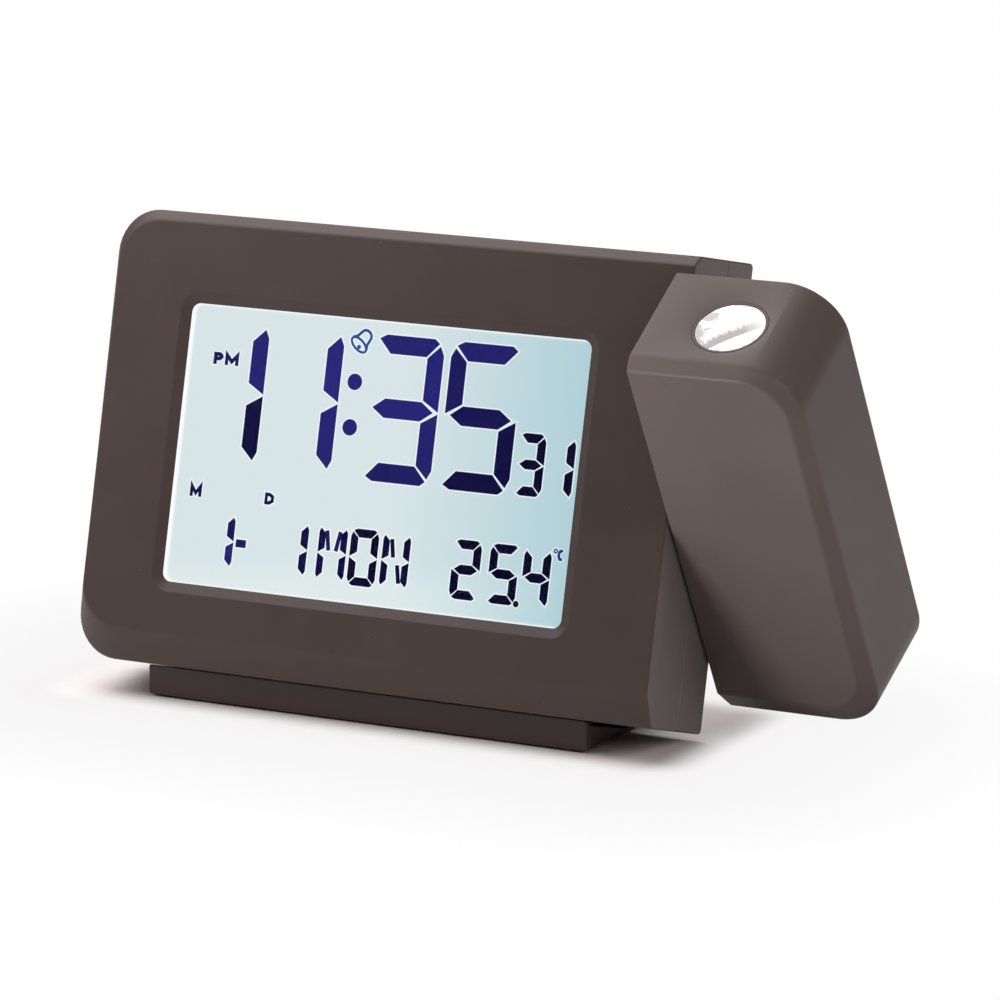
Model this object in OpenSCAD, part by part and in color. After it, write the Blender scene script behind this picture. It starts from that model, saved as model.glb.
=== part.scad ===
// Projection alarm clock. A slab with a display in its face leans back on a foot, and a
// projector arm of the same section swivels on the slab's flat right-hand end.
// The slab's pieces are drawn upright: x runs to the right, y from the face backwards and
// z up. The arm's pieces are drawn the same way, with x from the arm's own left side.

/* [Slab] */
// Width of the slab, up to its flat right-hand end
body_w = 121.8; // [118:0.1:150]
// Height of the slab, measured along its face
body_h = 85.7; // [84:0.1:100]
// Thickness of the slab and of the arm
body_t = 25; // [24.5:0.1:30]
// Angle by which the slab leans back
lean = 14; // [8:0.5:18]
// Wall thickness of the housings
wall = 2.2; // [1.8:0.1:2.4]
// Radius of the slab's left-hand corners
corner_r = 8.4; // [8:0.2:12]
// Radius of the face's left-hand corners
face_corner_r = 8.2; // [6:0.2:9]
// Depth of the seam between front and rear shell
seam_y = 14.3; // [14:0.1:15]
// Height of the bevel along the lower edge
bevel_low_h = 6.2; // [4:0.1:8]
// Depth of the bevel along the lower edge
bevel_low_d = 3.4; // [2.5:0.1:4]
// Height of the bevel along the upper edge
bevel_top_h = 1.9; // [1:0.1:3]
// Depth of the bevel along the upper edge
bevel_top_d = 2.4; // [2:0.1:3]
// Width of the bevel along the outer side
bevel_side = 1.8; // [1:0.1:3]
// Chamfer round the rear edges
edge_c = 0.4; // [0.3:0.1:0.8]
// How much the sides widen from the bevels to the rear
draft = 0.7; // [0:0.1:1]
// Height of the tongue that centres the two shells
tongue_h = 1; // [0.6:0.1:1.5]

/* [Display] */
// Left edge of the window's bevel
window_x = 16.5; // [15:0.1:18]
// Lower edge of the window's bevel
window_z = 14; // [12:0.1:16]
// Width of the window over its bevel
window_w = 88; // [84:0.1:90]
// Height of the window over its bevel
window_h = 56.6; // [50:0.1:58]
// Width of the window's bevel
window_bevel = 1.95; // [1.5:0.05:2.5]
// Depth of the window's bevel
window_d = 1; // [0.6:0.1:1.2]
// Corner radius at the window's outer edge
window_r = 3.7; // [2.6:0.1:5]
// Thickness of the clear window
glazing_t = 1.2; // [1:0.1:1.3]
// How far the clear window reaches behind the rim
glazing_lap = 2.2; // [1.5:0.1:2.5]
// Thickness of each of the display's two glasses
lcd_glass_t = 1.1; // [0.7:0.1:1.1]
// How far the display reaches beyond the window opening
lcd_margin = 3; // [2.4:0.1:3.2]
// Height of the display's contact ledge
lcd_ledge = 3.8; // [3.4:0.1:4]
// Thickness of the light guide
guide_t = 2; // [1.5:0.1:2]
// Room for the lamps beside the light guide
led_room = 4; // [3.6:0.1:4.5]
// Length of each of these lamps
led_l = 2.4; // [2:0.1:3]
// Width of each of these lamps
led_w = 3.5; // [2.5:0.1:4]
// Distance between these lamps
led_pitch = 15; // [10:0.5:18]
// Wall thickness of the display holder
holder_wall = 1.4; // [1:0.1:1.6]
// Thickness of the holder's back
holder_back = 1.2; // [0.8:0.1:1.2]
// Height of the rubber contact strip
strip_h = 2.8; // [2:0.1:3]

/* [Boards] */
// Thickness of the circuit boards
board_t = 1.6; // [1:0.1:1.6]
// Height of the main board's upper edge
board_top = 72.5; // [71:0.5:73]
// Distance of the main board from the slab's sides
board_side = 6.5; // [6:0.1:7]
// Height of a push switch body
tact_h = 4.3; // [3.5:0.1:4.5]
// Width of a push switch body
tact_w = 6; // [5:0.5:7]
// Height of a push switch's plunger
plunger_h = 1; // [0.6:0.1:1.2]

/* [Battery compartment] */
// Diameter of a cell
cell_d = 10.5; // [10:0.1:10.5]
// Length of a cell with its contact
cell_l = 44.5; // [40:0.5:44.5]
// Left end of the compartment
bay_x = 24; // [22.5:0.5:25]
// Lower side of the compartment
bay_z = 13.2; // [12.5:0.1:14]
// Length left for the contact springs
spring_l = 5.5; // [4:0.5:6]
// Thickness of the compartment's walls
bay_wall = 1.2; // [0.8:0.1:1.4]
// Thickness of the battery door
door_t = 1.8; // [1.4:0.1:1.8]
// Ledge that carries the battery door
door_lap = 2; // [1.5:0.1:2.5]

/* [Controls] */
// Height of the row of rear controls
row_z = 60; // [59:0.5:62]
// Position of the first push button
first_button_x = 46; // [45:0.5:48]
// Spacing of the push buttons
button_pitch = 14; // [12.5:0.5:14]
// Radius of a push button
button_r = 3.8; // [3:0.1:4.2]
// How far a push button stands out
button_out = 0.8; // [0.5:0.1:1.2]
// Travel of a push button
button_travel = 0.6; // [0.4:0.1:0.6]
// Clearance round a push button
button_gap = 0.15; // [0.1:0.05:0.25]
// Position of the slide switch
slide_x = 25; // [24:0.5:27]
// Width of the slide switch's knob
slide_w = 4.6; // [4:0.2:5]
// Height of the slide switch's knob
slide_h = 3.6; // [3:0.2:4]
// Travel of the slide switch
slide_travel = 4; // [2:0.5:4]
// Length of the snooze button
snooze_w = 50; // [40:1:52]
// Width of the snooze button
snooze_d = 11; // [9:0.5:11]
// Middle of the snooze button, from the slab's left side
snooze_x = 48; // [46:1:60]
// Travel of the snooze button
snooze_travel = 0.8; // [0.4:0.1:0.8]

/* [Sockets and sound] */
// Position of the power inlet
inlet_x = 94; // [93:0.5:96]
// Height of the power inlet
inlet_z = 22; // [21:0.5:24]
// Radius of the power inlet's barrel
inlet_r = 2.8; // [2.6:0.1:3]
// Wall round the power inlet's barrel
inlet_wall = 1.3; // [1:0.1:1.5]
// Width of the power inlet's body
inlet_w = 9; // [8.4:0.2:10]
// Radius of the power inlet's pin
inlet_pin_r = 1; // [0.6:0.05:1.1]
// Position of the buzzer
buzzer_x = 96; // [95:0.5:97]
// Height of the buzzer
buzzer_z = 43.5; // [42:0.5:44]
// Radius of the buzzer
buzzer_r = 7; // [6:0.5:7]
// Height of the buzzer
buzzer_h = 5; // [4:0.5:6]
// Radius of a sound hole
sound_r = 0.8; // [0.5:0.1:1]

/* [Foot] */
// Width of the foot
foot_w = 93; // [80:1:96]
// Depth of the foot
foot_d = 38; // [34:1:44]
// How far the foot's face lies behind the slab's lower edge
foot_setback = 2.6; // [1:0.1:4]
// Height above the table of the slab's rear lower edge, before the sides widen
rear_gap = 1.8; // [1.7:0.1:2.5]
// Height of the heel behind the slab
heel_h = 9; // [6:0.5:12]
// Height of the foot's rear edge
heel_end_h = 4; // [2:0.5:5]
// Radius of the foot's upright edges
foot_r = 1; // [0.5:0.1:2]
// Width of the rubber pad
pad_w = 76; // [60:1:80]
// Depth of the rubber pad
pad_d = 23; // [20:1:23]
// Distance of the foot's screws from its ends
foot_screw_in = 11; // [10:0.5:14]
// How far the rubber pad stands out
pad_out = 0.4; // [0.3:0.1:0.6]
// Depth of the pocket for the rubber pad
pad_pocket = 0.2; // [0.15:0.05:0.3]

/* [Projector arm] */
// Width of the arm
arm_w = 31.6; // [30.6:0.1:36]
// Gap between slab and arm
arm_gap = 0.5; // [0.4:0.05:0.8]
// Angle of the arm against the slab
arm_tilt = 44; // [0:1:180]
// Radius of the arm's right-hand corners
arm_corner_r = 10.5; // [9:0.5:11]
// Width of the bevel along the arm's side
arm_bevel_side = 1.9; // [1:0.1:3]
// Depth of the swivel axis behind the face
axis_y = 13.5; // [13:0.1:14]
// Height of the swivel axis in the slab
axis_z = 42.6; // [42:0.1:44]
// Thickness of the arm's rear cover
cover_t = 1.8; // [1.2:0.1:1.8]

/* [Swivel] */
// Radius of the hub's neck
hub_r = 6.6; // [6:0.1:7]
// Radius of the hub's bore
hub_bore_r = 3.8; // [3.5:0.1:4]
// Radius of the hub's flange and of its clamp ring
flange_r = 9.1; // [8.6:0.1:9.1]
// Thickness of the flange
flange_t = 1.6; // [1.2:0.1:2]
// Radial clearance of the neck in the housings
hub_gap = 0.05; // [0.02:0.01:0.1]
// Thickness of the friction washer
washer_t = 0.9; // [0.5:0.1:1.2]
// Thickness of the clamp ring
clamp_t = 1.4; // [1:0.1:1.6]
// Radius of the lead that passes the hub
lead_r = 1.5; // [1:0.1:1.8]

/* [Optics] */
// Position of the optical axis across the arm
lens_x = 15.5; // [15.2:0.1:16]
// Depth of the optical axis
lens_y = 12.4; // [12.2:0.1:12.6]
// Radius of the projector lens
lens_r = 6.4; // [6:0.05:6.45]
// Outer radius of the lens barrel
barrel_r = 6.95; // [6.8:0.01:6.97]
// Radius of the barrel's guide
guide_r = 7; // [6.98:0.01:7.05]
// Radius of the recess round the lens
recess_r = 8.2; // [7.6:0.1:8.8]
// Depth of the recess round the lens
recess_d = 1.2; // [0.8:0.1:1.5]
// Depth of the barrel's rim below the arm's top
barrel_sink = 0.5; // [0.4:0.1:1.5]
// Travel of the barrel each way
focus_travel = 0.7; // [0.4:0.1:0.8]
// Outer radius of the focus ring
ring_r = 10.5; // [10:0.1:10.6]
// Height of the focus ring's middle
ring_z = 63; // [62.5:0.5:64]
// Height of the focus ring
ring_h = 5.4; // [4:0.2:6]
// Number of ridges on the focus ring
ring_ridges = 40; // [24:2:48]
// Outer radius of the lamp tube
tube_r = 8.4; // [8.2:0.1:8.6]
// Wall thickness of the lamp tube
tube_wall = 1.2; // [1:0.1:1.4]
// Lower end of the lamp tube
tube_z = 29; // [27:0.5:30]
// Height of the condenser's seat in the lamp tube
condenser_z = 37.5; // [36.5:0.5:38.5]
// Height of the image panel's seat in the lamp tube
panel_z = 44; // [43:0.5:46]

/* [Screws] */
// Radius of a housing screw's shank
screw_r = 1; // [0.8:0.05:1.1]
// Radius of a housing screw's head
head_r = 2.5; // [2:0.1:2.6]
// Height of a housing screw's head
head_h = 1.8; // [1.2:0.1:2]
// Length of the screws that join the slab's shells
case_screw_l = 11.3; // [9:0.1:12]
// How far the foot's screws reach into the slab
foot_bite = 6; // [5:0.5:6.5]
// How far the small screws reach into their posts
small_bite = 4.5; // [4:0.25:5]
// How far the clamp's screws reach into the hub
hub_bite = 4; // [3:0.25:4.5]
// Play of a screw in its post
pilot_gap = 0.1; // [0.05:0.01:0.15]
// Distance of the housing screws from the slab's edges
screw_in = 8.5; // [8:0.1:9]

/* [Hidden] */

$fn = 48;
corner_n = 12; // steps of a rounded corner
eps = 0.01;
seat = 0.2; // clearance between an inner piece and what holds it
near = 0.1; // gap between faces that meet
skin = 0.3; // how much smaller the inner face outline is than the outer one
shell_colour = "#4b403e";
board_colour = "#2f6b45";
metal_colour = "#c8c8c4";

// Outlines in the face plane: left, right, bottom, top, left radius, right radius
body_rim = [0, body_w, 0, body_h, corner_r, 0];
body_face = [bevel_side, body_w, bevel_low_h, body_h - bevel_top_h, face_corner_r, 0];
arm_rim = [0, arm_w, 0, body_h, 0, arm_corner_r];
arm_face = [0, arm_w - arm_bevel_side, bevel_low_h, body_h - bevel_top_h, 0,
    arm_corner_r - arm_bevel_side];

function grow(o, g) =
    [o[0] - g, o[1] + g, o[2] - g, o[3] + g, o[4] > 0 ? o[4] + g : 0, o[5] > 0 ? o[5] + g : 0];
function grow_arm(g) = [-g, arm_w + g, -g, body_h + g, 0, arm_corner_r + g];
// An outline widened by draft: the top, the bottom and a rounded side move out, a flat end stays
function drafted(o) = [o[0] - (o[4] > 0 ? draft : 0), o[1] + (o[5] > 0 ? draft : 0),
    o[2] - draft, o[3] + draft, o[4] > 0 ? o[4] + draft : 0, o[5] > 0 ? o[5] + draft : 0];
function inside_face(face, rim) = [max(face[0] + skin, rim[0] + wall),
    min(face[1] - skin, rim[1] - wall), face[2] + skin, min(face[3] - skin, rim[3] - wall),
    max(face[4] - skin, 0), max(face[5] - skin, 0)];

// Depths of the display stack, from the face backwards
window_rim = [window_x, window_x + window_w, window_z, window_z + window_h, window_r, window_r];
opening = grow(window_rim, -window_bevel);
glazing = grow(opening, glazing_lap);
lcd = [opening[0] - lcd_margin, opening[1] + lcd_margin,
    opening[2] - lcd_margin, opening[3] + 0.4];
lcd_top = lcd[3] + lcd_ledge;
lcd_y = wall + seat;
lcd_back = lcd_y + 2 * lcd_glass_t;
guide_y = lcd_back + seat;
holder_y = guide_y + guide_t + seat;
holder_wide = seat + holder_wall;
board_y = holder_y + holder_back + seat;
board_back = board_y + board_t;
inner_y = bevel_low_d + wall * 0.6; // where the inner walls leave the bevel

// Battery compartment
bay_w = cell_l + spring_l + 1;
cell_pitch = cell_d + 0.6;
bay_h = 2 * cell_pitch + 1.2;
bay_x1 = bay_x + bay_w;
bay_z1 = bay_z + bay_h;
bay_y = board_back + seat;
cell_y = bay_y + 0.3 + cell_d / 2;
cell_zs = [bay_z + bay_h / 2 - cell_pitch / 2, bay_z + bay_h / 2 + cell_pitch / 2];
contact_t = 0.4;
door_y = body_t - door_t;
door_gap = 0.15;
door_rim = [bay_x - door_lap, bay_x1 + door_lap, bay_z - door_lap, bay_z1 + door_lap, 0, 0];
door_hinge = [door_y + door_t / 2, door_rim[2] + door_gap + door_t / 2];

// Boards, posts and screws of the slab
board_x1 = body_w - board_side;
board_low_x = door_rim[1] + bay_wall + 3.5; // the board reaches down beside the compartment
board_mid_z = door_rim[3] + bay_wall + 0.7;
board_low_z = screw_in + 6;
board_posts = [[screw_in + 1, 47], [screw_in + 1, 68],
    [body_w - screw_in - 2, 68], [body_w - screw_in - 2, 24]];
board_post_r = 2.4;
case_posts = [for (x = [screw_in, body_w - screw_in], z = [screw_in, body_h - screw_in + 1])
    [x, z]];
case_post_r = 3;
head_y = seam_y + 3; // seat of the housing screws' heads
pilot_r = screw_r + pilot_gap;
foot_x = body_w / 2 - foot_w / 2;
foot_screw_x = [foot_x + foot_screw_in, foot_x + foot_w - foot_screw_in];
foot_screw_y = seam_y - case_post_r - near;
foot_seat = 2.6; // material between the slab and the foot screws' heads

// Controls
wall_back = body_t - wall; // inner side of the rear wall
button_xs = [for (i = [0:3]) first_button_x + i * button_pitch];
collar = 1.1; // how far a button's collar reaches behind the wall
switch_top = board_back + tact_h + plunger_h;
stem_y = switch_top + button_travel + near;
slide_x1 = slide_x + slide_travel;
snooze_stem_z = board_top + 2.9;
snooze_rim = [snooze_x - snooze_w / 2, snooze_x + snooze_w / 2,
    seam_y - snooze_d / 2, seam_y + snooze_d / 2, 2, 2];

// Place of the slab: its rear lower edge stands rear_gap above the table
slab_rear_y = -foot_d / 2 - foot_setback + (body_t - bevel_low_d) * cos(lean);
function slab_point(y, z) = [
    slab_rear_y + (y - body_t) * cos(lean) + z * sin(lean),
    rear_gap + z * cos(lean) - (y - body_t) * sin(lean)];

// Swivel: x from the arm's left side
arm_x = body_w + arm_gap;
end_wall_x = -arm_gap - wall; // inner side of the slab's end wall
washer_x = end_wall_x - near - washer_t;
flange_x = washer_x - near - flange_t;
shoulder_r = hub_r + 1.6;
hub_screw_at = (hub_r + hub_bore_r) / 2;
hub_screw_r = 0.7;
lead_bend = 3;
lead_down_x = wall + clamp_t + lead_r + near;
lead_end_x = lens_x - 2;
socket_x = flange_x - 5.4; // the lead's socket lies just inside the flange
socket_l = 5.5;

// Optics, all on one upright axis
guide_z = ring_z + ring_h / 2 + 0.3; // lower end of the barrel's guide
tube_top = ring_z - ring_h / 2 - 0.3;
barrel_z0 = tube_top - 6;
barrel_z1 = body_h - barrel_sink;
recess_slope = (recess_r - guide_r) / recess_d;
lens_seat = barrel_z1 - 3.2;
lens_edge = 1.6;
lens_curve = 14; // radius of the lens's two faces
tube_bore = tube_r - tube_wall;
shelf_t = 1.5;
stop_r = 5; // light passage of the image panel's shelf
lamp_board_t = 1.6;
lamp_r = 2.5;
ear_z = tube_top - 4.2;
ear_post_r = 2.2;
ear_out = tube_r + ear_post_r - near;
ear_xs = [lens_x - ear_out, lens_x + ear_out];
ear_y = 10;
ear_t = 2;
cover_y = body_t - near - cover_t;
cover_posts = [[5.5, screw_in], [arm_w - 5.8, screw_in + 0.5],
    [5.5, body_h - screw_in + 1], [arm_w - 5.8, body_h - screw_in]];
cover_post_r = 2.6;
small_head_r = 2;
small_head_h = 1;
barrel_bore = lens_r - 0.8;
key_w = 1.4; // the key that keeps the barrel from turning
key_h = 7;
key_z = guide_z + 3;
strip_z = lcd_top - strip_h - 0.3;

// Values for the record: joint axes in the frame of the whole clock, in millimetres
echo(swivel = slab_point(axis_y, axis_z), slab_left = -body_w / 2);
echo(lens_x = arm_x + lens_x - body_w / 2, door = slab_point(door_hinge[0], door_hinge[1]));

// ---- helpers ----

// Stands the upright slab on its foot, with the middle of the foot at the origin
module leaning() {
    translate([-body_w / 2, slab_rear_y, rear_gap]) rotate([-lean, 0, 0])
        translate([0, -body_t, 0]) children();
}

// Puts the arm at the slab's end and turns it about the swivel axis
module swivelled() {
    leaning() translate([arm_x, axis_y, axis_z]) rotate([arm_tilt, 0, 0])
        translate([0, -axis_y, -axis_z]) children();
}

// A rectangle whose left and right corners have their own radii
module outline(o) {
    translate([o[0] + o[4], o[2]]) square([o[1] - o[0] - o[4] - o[5], o[3] - o[2]]);
    if (o[4] > 0) {
        translate([o[0], o[2] + o[4]]) square([o[4], o[3] - o[2] - 2 * o[4]]);
        for (z = [o[2] + o[4], o[3] - o[4]]) translate([o[0] + o[4], z]) circle(o[4]);
    }
    if (o[5] > 0) {
        translate([o[1] - o[5], o[2] + o[5]]) square([o[5], o[3] - o[2] - 2 * o[5]]);
        for (z = [o[2] + o[5], o[3] - o[5]]) translate([o[1] - o[5], z]) circle(o[5]);
    }
}

// An outline in the face plane, as a slice from y0 to y1
module slice(o, y0, y1) {
    translate([0, y1, 0]) rotate([90, 0, 0]) linear_extrude(y1 - y0) outline(o);
}

// A box given by its limits
module block(x, y, z) {
    translate([x[0], y[0], z[0]]) cube([x[1] - x[0], y[1] - y[0], z[1] - z[0]]);
}

// A cylinder along x, and one along y, given by their ends
module rod_x(y, z, r, x0, x1) {
    translate([x0, y, z]) rotate([0, 90, 0]) cylinder(r = r, h = x1 - x0);
}
module rod_y(x, z, r, y0, y1) {
    translate([x, y1, z]) rotate([90, 0, 0]) cylinder(r = r, h = y1 - y0);
}

// The corner points of an outline; a rounded corner is an arc of corner_n steps
function corner(x, z, r, a) = r > 0
    ? [for (i = [0:corner_n]) [x + r * cos(a + 90 * i / corner_n), z + r * sin(a + 90 * i / corner_n)]]
    : [[x, z]];
function loop(o) = concat(
    corner(o[1] - o[5], o[3] - o[5], o[5], 0), corner(o[0] + o[4], o[3] - o[4], o[4], 90),
    corner(o[0] + o[4], o[2] + o[4], o[4], 180), corner(o[1] - o[5], o[2] + o[5], o[5], 270));
// An outline as a ring of points at depth y_low along its bottom and y_top along its top
function ring(o, y_low, y_top) = [for (p = loop(o))
    [p[0], y_low + (y_top - y_low) * (p[1] - o[2]) / (o[3] - o[2]), p[1]]];

// A solid through rings of the same number of points, from the front one to the rear one
module loft(rings) {
    n = len(rings[0]);
    last = len(rings) - 1;
    polyhedron([for (r = rings) each r], concat(
        [[for (i = [n - 1:-1:0]) i]],
        [for (k = [0:last - 1], i = [0:n - 1], h = [0, 1]) let (j = (i + 1) % n, b = k * n, t = b + n)
            h == 0 ? [b + i, b + j, t + i] : [t + i, b + j, t + j]],
        [[for (i = [0:n - 1]) last * n + i]]));
}

// The outer form of slab and arm: face, bevel, sides that widen and a chamfered rear edge
module form(face, rim) {
    wide = drafted(rim);
    left = rim[4] > 0 ? edge_c : 0;
    right = rim[5] > 0 ? edge_c : 0;
    rear = [wide[0] + left, wide[1] - right, wide[2] + edge_c, wide[3] - edge_c,
        wide[4] - left, wide[5] - right];
    loft([ring(face, 0, 0), ring(rim, bevel_low_d, bevel_top_d),
        ring(wide, body_t - edge_c, body_t - edge_c), ring(rear, body_t, body_t)]);
}

// The hollow inside that form, from the face's inner side back to y1
module hollow(face, rim, y1) {
    inner = grow(rim, -wall);
    loft([ring(inside_face(face, rim), wall, wall),
        ring(inner, inner_y, inner_y - bevel_low_d + bevel_top_d), ring(inner, y1, y1)]);
}

// A cross-head screw along z: the head stands on z = 0 and the shank reaches down
module screw(l, r, hr, hh) {
    difference() {
        union() {
            translate([0, 0, -l]) cylinder(r = r, h = l + eps);
            cylinder(r = hr, h = hh);
        }
        for (a = [0, 90]) rotate([0, 0, a]) translate([-hr * 0.6, -hr * 0.12, hh * 0.5])
            cube([hr * 1.2, hr * 0.24, hh]);
    }
}

// ---- housing of the slab ----

// The bearing of the hub in the slab's end wall, half in each shell, and room for the washer
module hub_bearing() {
    rod_x(axis_y, axis_z, hub_r + hub_gap, body_w - wall - 1, body_w + 1);
    rod_x(axis_y, axis_z, flange_r + seat, body_w - wall - 1, body_w - wall);
}

// The opening of the snooze button in the top wall, half in each shell
module snooze_opening() {
    translate([0, 0, body_h - wall - 1]) linear_extrude(wall + draft + 2) outline(snooze_rim);
}

// The window: a bevelled rim in front and a seat for the glazing behind it
module window_cut() {
    loft([ring(window_rim, -1, -1), ring(window_rim, 0, 0),
        ring(opening, window_d, window_d), ring(opening, wall, wall)]);
    slice(grow(glazing, near), window_d + eps, wall + 1);
}

module front_shell() {
    color(shell_colour) leaning() difference() {
        union() {
            difference() {
                form(body_face, body_rim);
                hollow(body_face, body_rim, seam_y + 1);
                block([-2, body_w + 2], [seam_y, body_t + 1], [-2, body_h + 2]);
            }
            difference() {
                slice(grow(body_rim, -wall / 2 - near), seam_y - wall, seam_y + tongue_h);
                slice(grow(body_rim, -wall - 0.2), seam_y - wall - 1, seam_y + tongue_h + 1);
            }
            for (p = case_posts) rod_y(p[0], p[1], case_post_r, wall - eps, seam_y);
            for (p = board_posts) rod_y(p[0], p[1], board_post_r, wall - eps, board_y);
            for (x = foot_screw_x) translate([x, foot_screw_y, wall / 2])
                cylinder(r = case_post_r, h = wall / 2 + foot_bite - 1);
        }
        window_cut();
        for (p = case_posts) rod_y(p[0], p[1], pilot_r, head_y - case_screw_l - 1, seam_y + 1);
        for (p = board_posts) rod_y(p[0], p[1], pilot_r, wall + 0.6, board_y + 1);
        for (x = foot_screw_x) translate([x, foot_screw_y, -1])
            cylinder(r = pilot_r, h = foot_bite + 1.5);
        hub_bearing();
        snooze_opening();
    }
}

module rear_shell() {
    color(shell_colour) leaning() difference() {
        union() {
            difference() {
                intersection() {
                    form(body_face, body_rim);
                    block([-2, body_w + 2], [seam_y, body_t + 1], [-2, body_h + 2]);
                }
                slice(grow(body_rim, -wall), seam_y - 1, wall_back);
                slice(grow(body_rim, -wall / 2), seam_y - 1, seam_y + tongue_h + near);
            }
            for (p = case_posts) rod_y(p[0], p[1], case_post_r + 1, seam_y, wall_back + eps);
            slice(grow([bay_x, bay_x1, bay_z, bay_z1, 0, 0], bay_wall),
                bay_y - bay_wall, wall_back + eps);
            slice(grow(door_rim, bay_wall), door_y - 2, wall_back + eps);
            rod_y(buzzer_x, buzzer_z, buzzer_r + 1.2, wall_back - 3, wall_back + eps);
        }
        slice([bay_x, bay_x1, bay_z, bay_z1, 0, 0], bay_y, body_t + 1);
        slice(door_rim, door_y - near, body_t + 1);
        for (p = case_posts) {
            rod_y(p[0], p[1], screw_r + 0.4, seam_y - 1, body_t + 1);
            rod_y(p[0], p[1], head_r + 0.3, head_y, body_t + 1);
        }
        for (x = button_xs) rod_y(x, row_z, button_r + button_gap, wall_back - 1, body_t + 1);
        block([slide_x - slide_w / 2 - seat, slide_x1 + slide_w / 2 + seat],
            [wall_back - 1, body_t + 1], [row_z - slide_h / 2 - seat, row_z + slide_h / 2 + seat]);
        rod_y(buzzer_x, buzzer_z, buzzer_r + seat, wall_back - 4, wall_back);
        for (a = [0:60:359])
            rod_y(buzzer_x + 3.4 * cos(a), buzzer_z + 3.4 * sin(a), sound_r, wall_back - 1, body_t + 1);
        rod_y(buzzer_x, buzzer_z, sound_r, wall_back - 1, body_t + 1);
        rod_y(inlet_x, inlet_z, inlet_r + inlet_wall + button_gap, wall_back - 1, body_t + 1);
        hub_bearing();
        snooze_opening();
    }
}

// ---- foot ----

// The foot's section: it carries the slab's lower face and rises as a heel behind its rear
module foot_section() {
    front = -foot_d / 2;
    slab_front = slab_point(bevel_low_d, 0);
    slab_rear = slab_point(body_t, -draft);
    slope = (slab_front[1] - slab_rear[1]) / (slab_rear[0] - slab_front[0]);
    polygon([[front, pad_out],
        [front, slab_rear[1] - near + (slab_rear[0] - front) * slope],
        [slab_rear[0], slab_rear[1] - near],
        [slab_rear_y + near + heel_h * tan(lean), rear_gap + heel_h],
        [slab_rear_y + near + heel_h * tan(lean) + 2, rear_gap + heel_h],
        [foot_d / 2, heel_end_h],
        [foot_d / 2, pad_out]]);
}

module foot() {
    color(shell_colour) difference() {
        intersection() {
            translate([-foot_w / 2, 0, 0]) rotate([90, 0, 90]) linear_extrude(foot_w)
                foot_section();
            linear_extrude(heel_h + rear_gap + 1)
                outline([-foot_w / 2, foot_w / 2, -foot_d / 2, foot_d / 2, foot_r, foot_r]);
        }
        pad(pad_out + pad_pocket, near);
        leaning() for (x = foot_screw_x) translate([x, foot_screw_y, 0]) {
            translate([0, 0, -9]) cylinder(r = screw_r + 0.4, h = 10);
            translate([0, 0, -9]) cylinder(r = head_r + 0.3, h = 9 - foot_seat);
        }
    }
}

module pad(h, g) {
    linear_extrude(h)
        outline([-pad_w / 2 - g, pad_w / 2 + g, -pad_d / 2 - g, pad_d / 2 + g, 3 + g, 3 + g]);
}

module foot_pad() {
    color("#232323") pad(pad_out + pad_pocket, 0);
}

module foot_screws() {
    color(metal_colour) leaning() for (x = foot_screw_x)
        translate([x, foot_screw_y, -foot_seat]) rotate([180, 0, 0])
            screw(foot_seat + foot_bite, screw_r, head_r, head_h);
}

module case_screws() {
    color(metal_colour) leaning() for (p = case_posts)
        translate([p[0], head_y, p[1]]) rotate([-90, 0, 0])
            screw(case_screw_l, screw_r, head_r, head_h);
}

// ---- display ----

module window() {
    color("#dfeaec", 0.4) leaning() slice(glazing, window_d + eps, window_d + glazing_t);
}

// Two glasses: the rear one reaches further up, with the contacts on its ledge
module lcd_panel() {
    color("#bcd3d6") leaning() {
        slice([lcd[0], lcd[1], lcd[2], lcd[3], 0, 0], lcd_y, lcd_y + lcd_glass_t + eps);
        slice([lcd[0], lcd[1], lcd[2], lcd_top, 0, 0], lcd_y + lcd_glass_t, lcd_back);
    }
}

module light_guide() {
    edge = lcd[1] - led_room;
    color("#f2f5f5") leaning() difference() {
        slice([lcd[0] + 1.5, edge, lcd[2] + 1, lcd[3], 0, 0], guide_y, guide_y + guide_t);
        slice([edge - 0.6, edge + eps, lcd[2] + 3, lcd[2] + 5, 0, 0],
            guide_y - 1, guide_y + guide_t + 1);
    }
}

module backlight_leds() {
    edge = lcd[1] - led_room + near;
    color("#fff8e0") leaning() for (i = [-1:1]) {
        mid = (lcd[2] + lcd[3]) / 2 + i * led_pitch;
        slice([edge, edge + led_l, mid - led_w / 2, mid + led_w / 2, 0, 0],
            guide_y + near, guide_y + guide_t);
    }
}

// A tray that holds display and light guide, with a slot for the contact strip
module lcd_holder() {
    color("#e8e8e4") leaning() difference() {
        slice([lcd[0] - holder_wide, lcd[1] + holder_wide,
            lcd[2] - holder_wide, lcd_top + holder_wide, 1, 1], lcd_y, holder_y + holder_back);
        slice([lcd[0] - seat, lcd[1] + seat, lcd[2] - seat, lcd_top + seat, 0, 0],
            lcd_y - 1, holder_y);
        slice([lcd[0] + 5 - seat, lcd[1] - 5 + seat, strip_z - seat, strip_z + strip_h + seat, 0, 0],
            holder_y - 1, board_y);
    }
}

module contact_strip() {
    color("#d9a0a0") leaning()
        slice([lcd[0] + 5, lcd[1] - 5, strip_z, strip_z + strip_h, 0, 0], lcd_back, board_y);
}

// ---- electronics ----

module main_board() {
    color(board_colour) leaning() difference() {
        union() {
            slice([board_side, board_x1, board_mid_z, board_top, 0, 0], board_y, board_back);
            slice([board_low_x, board_x1, board_low_z, board_mid_z + 1, 0, 0],
                board_y, board_back);
        }
        for (p = board_posts) rod_y(p[0], p[1], screw_r + 0.3, board_y - 1, board_back + 1);
    }
}

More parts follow.
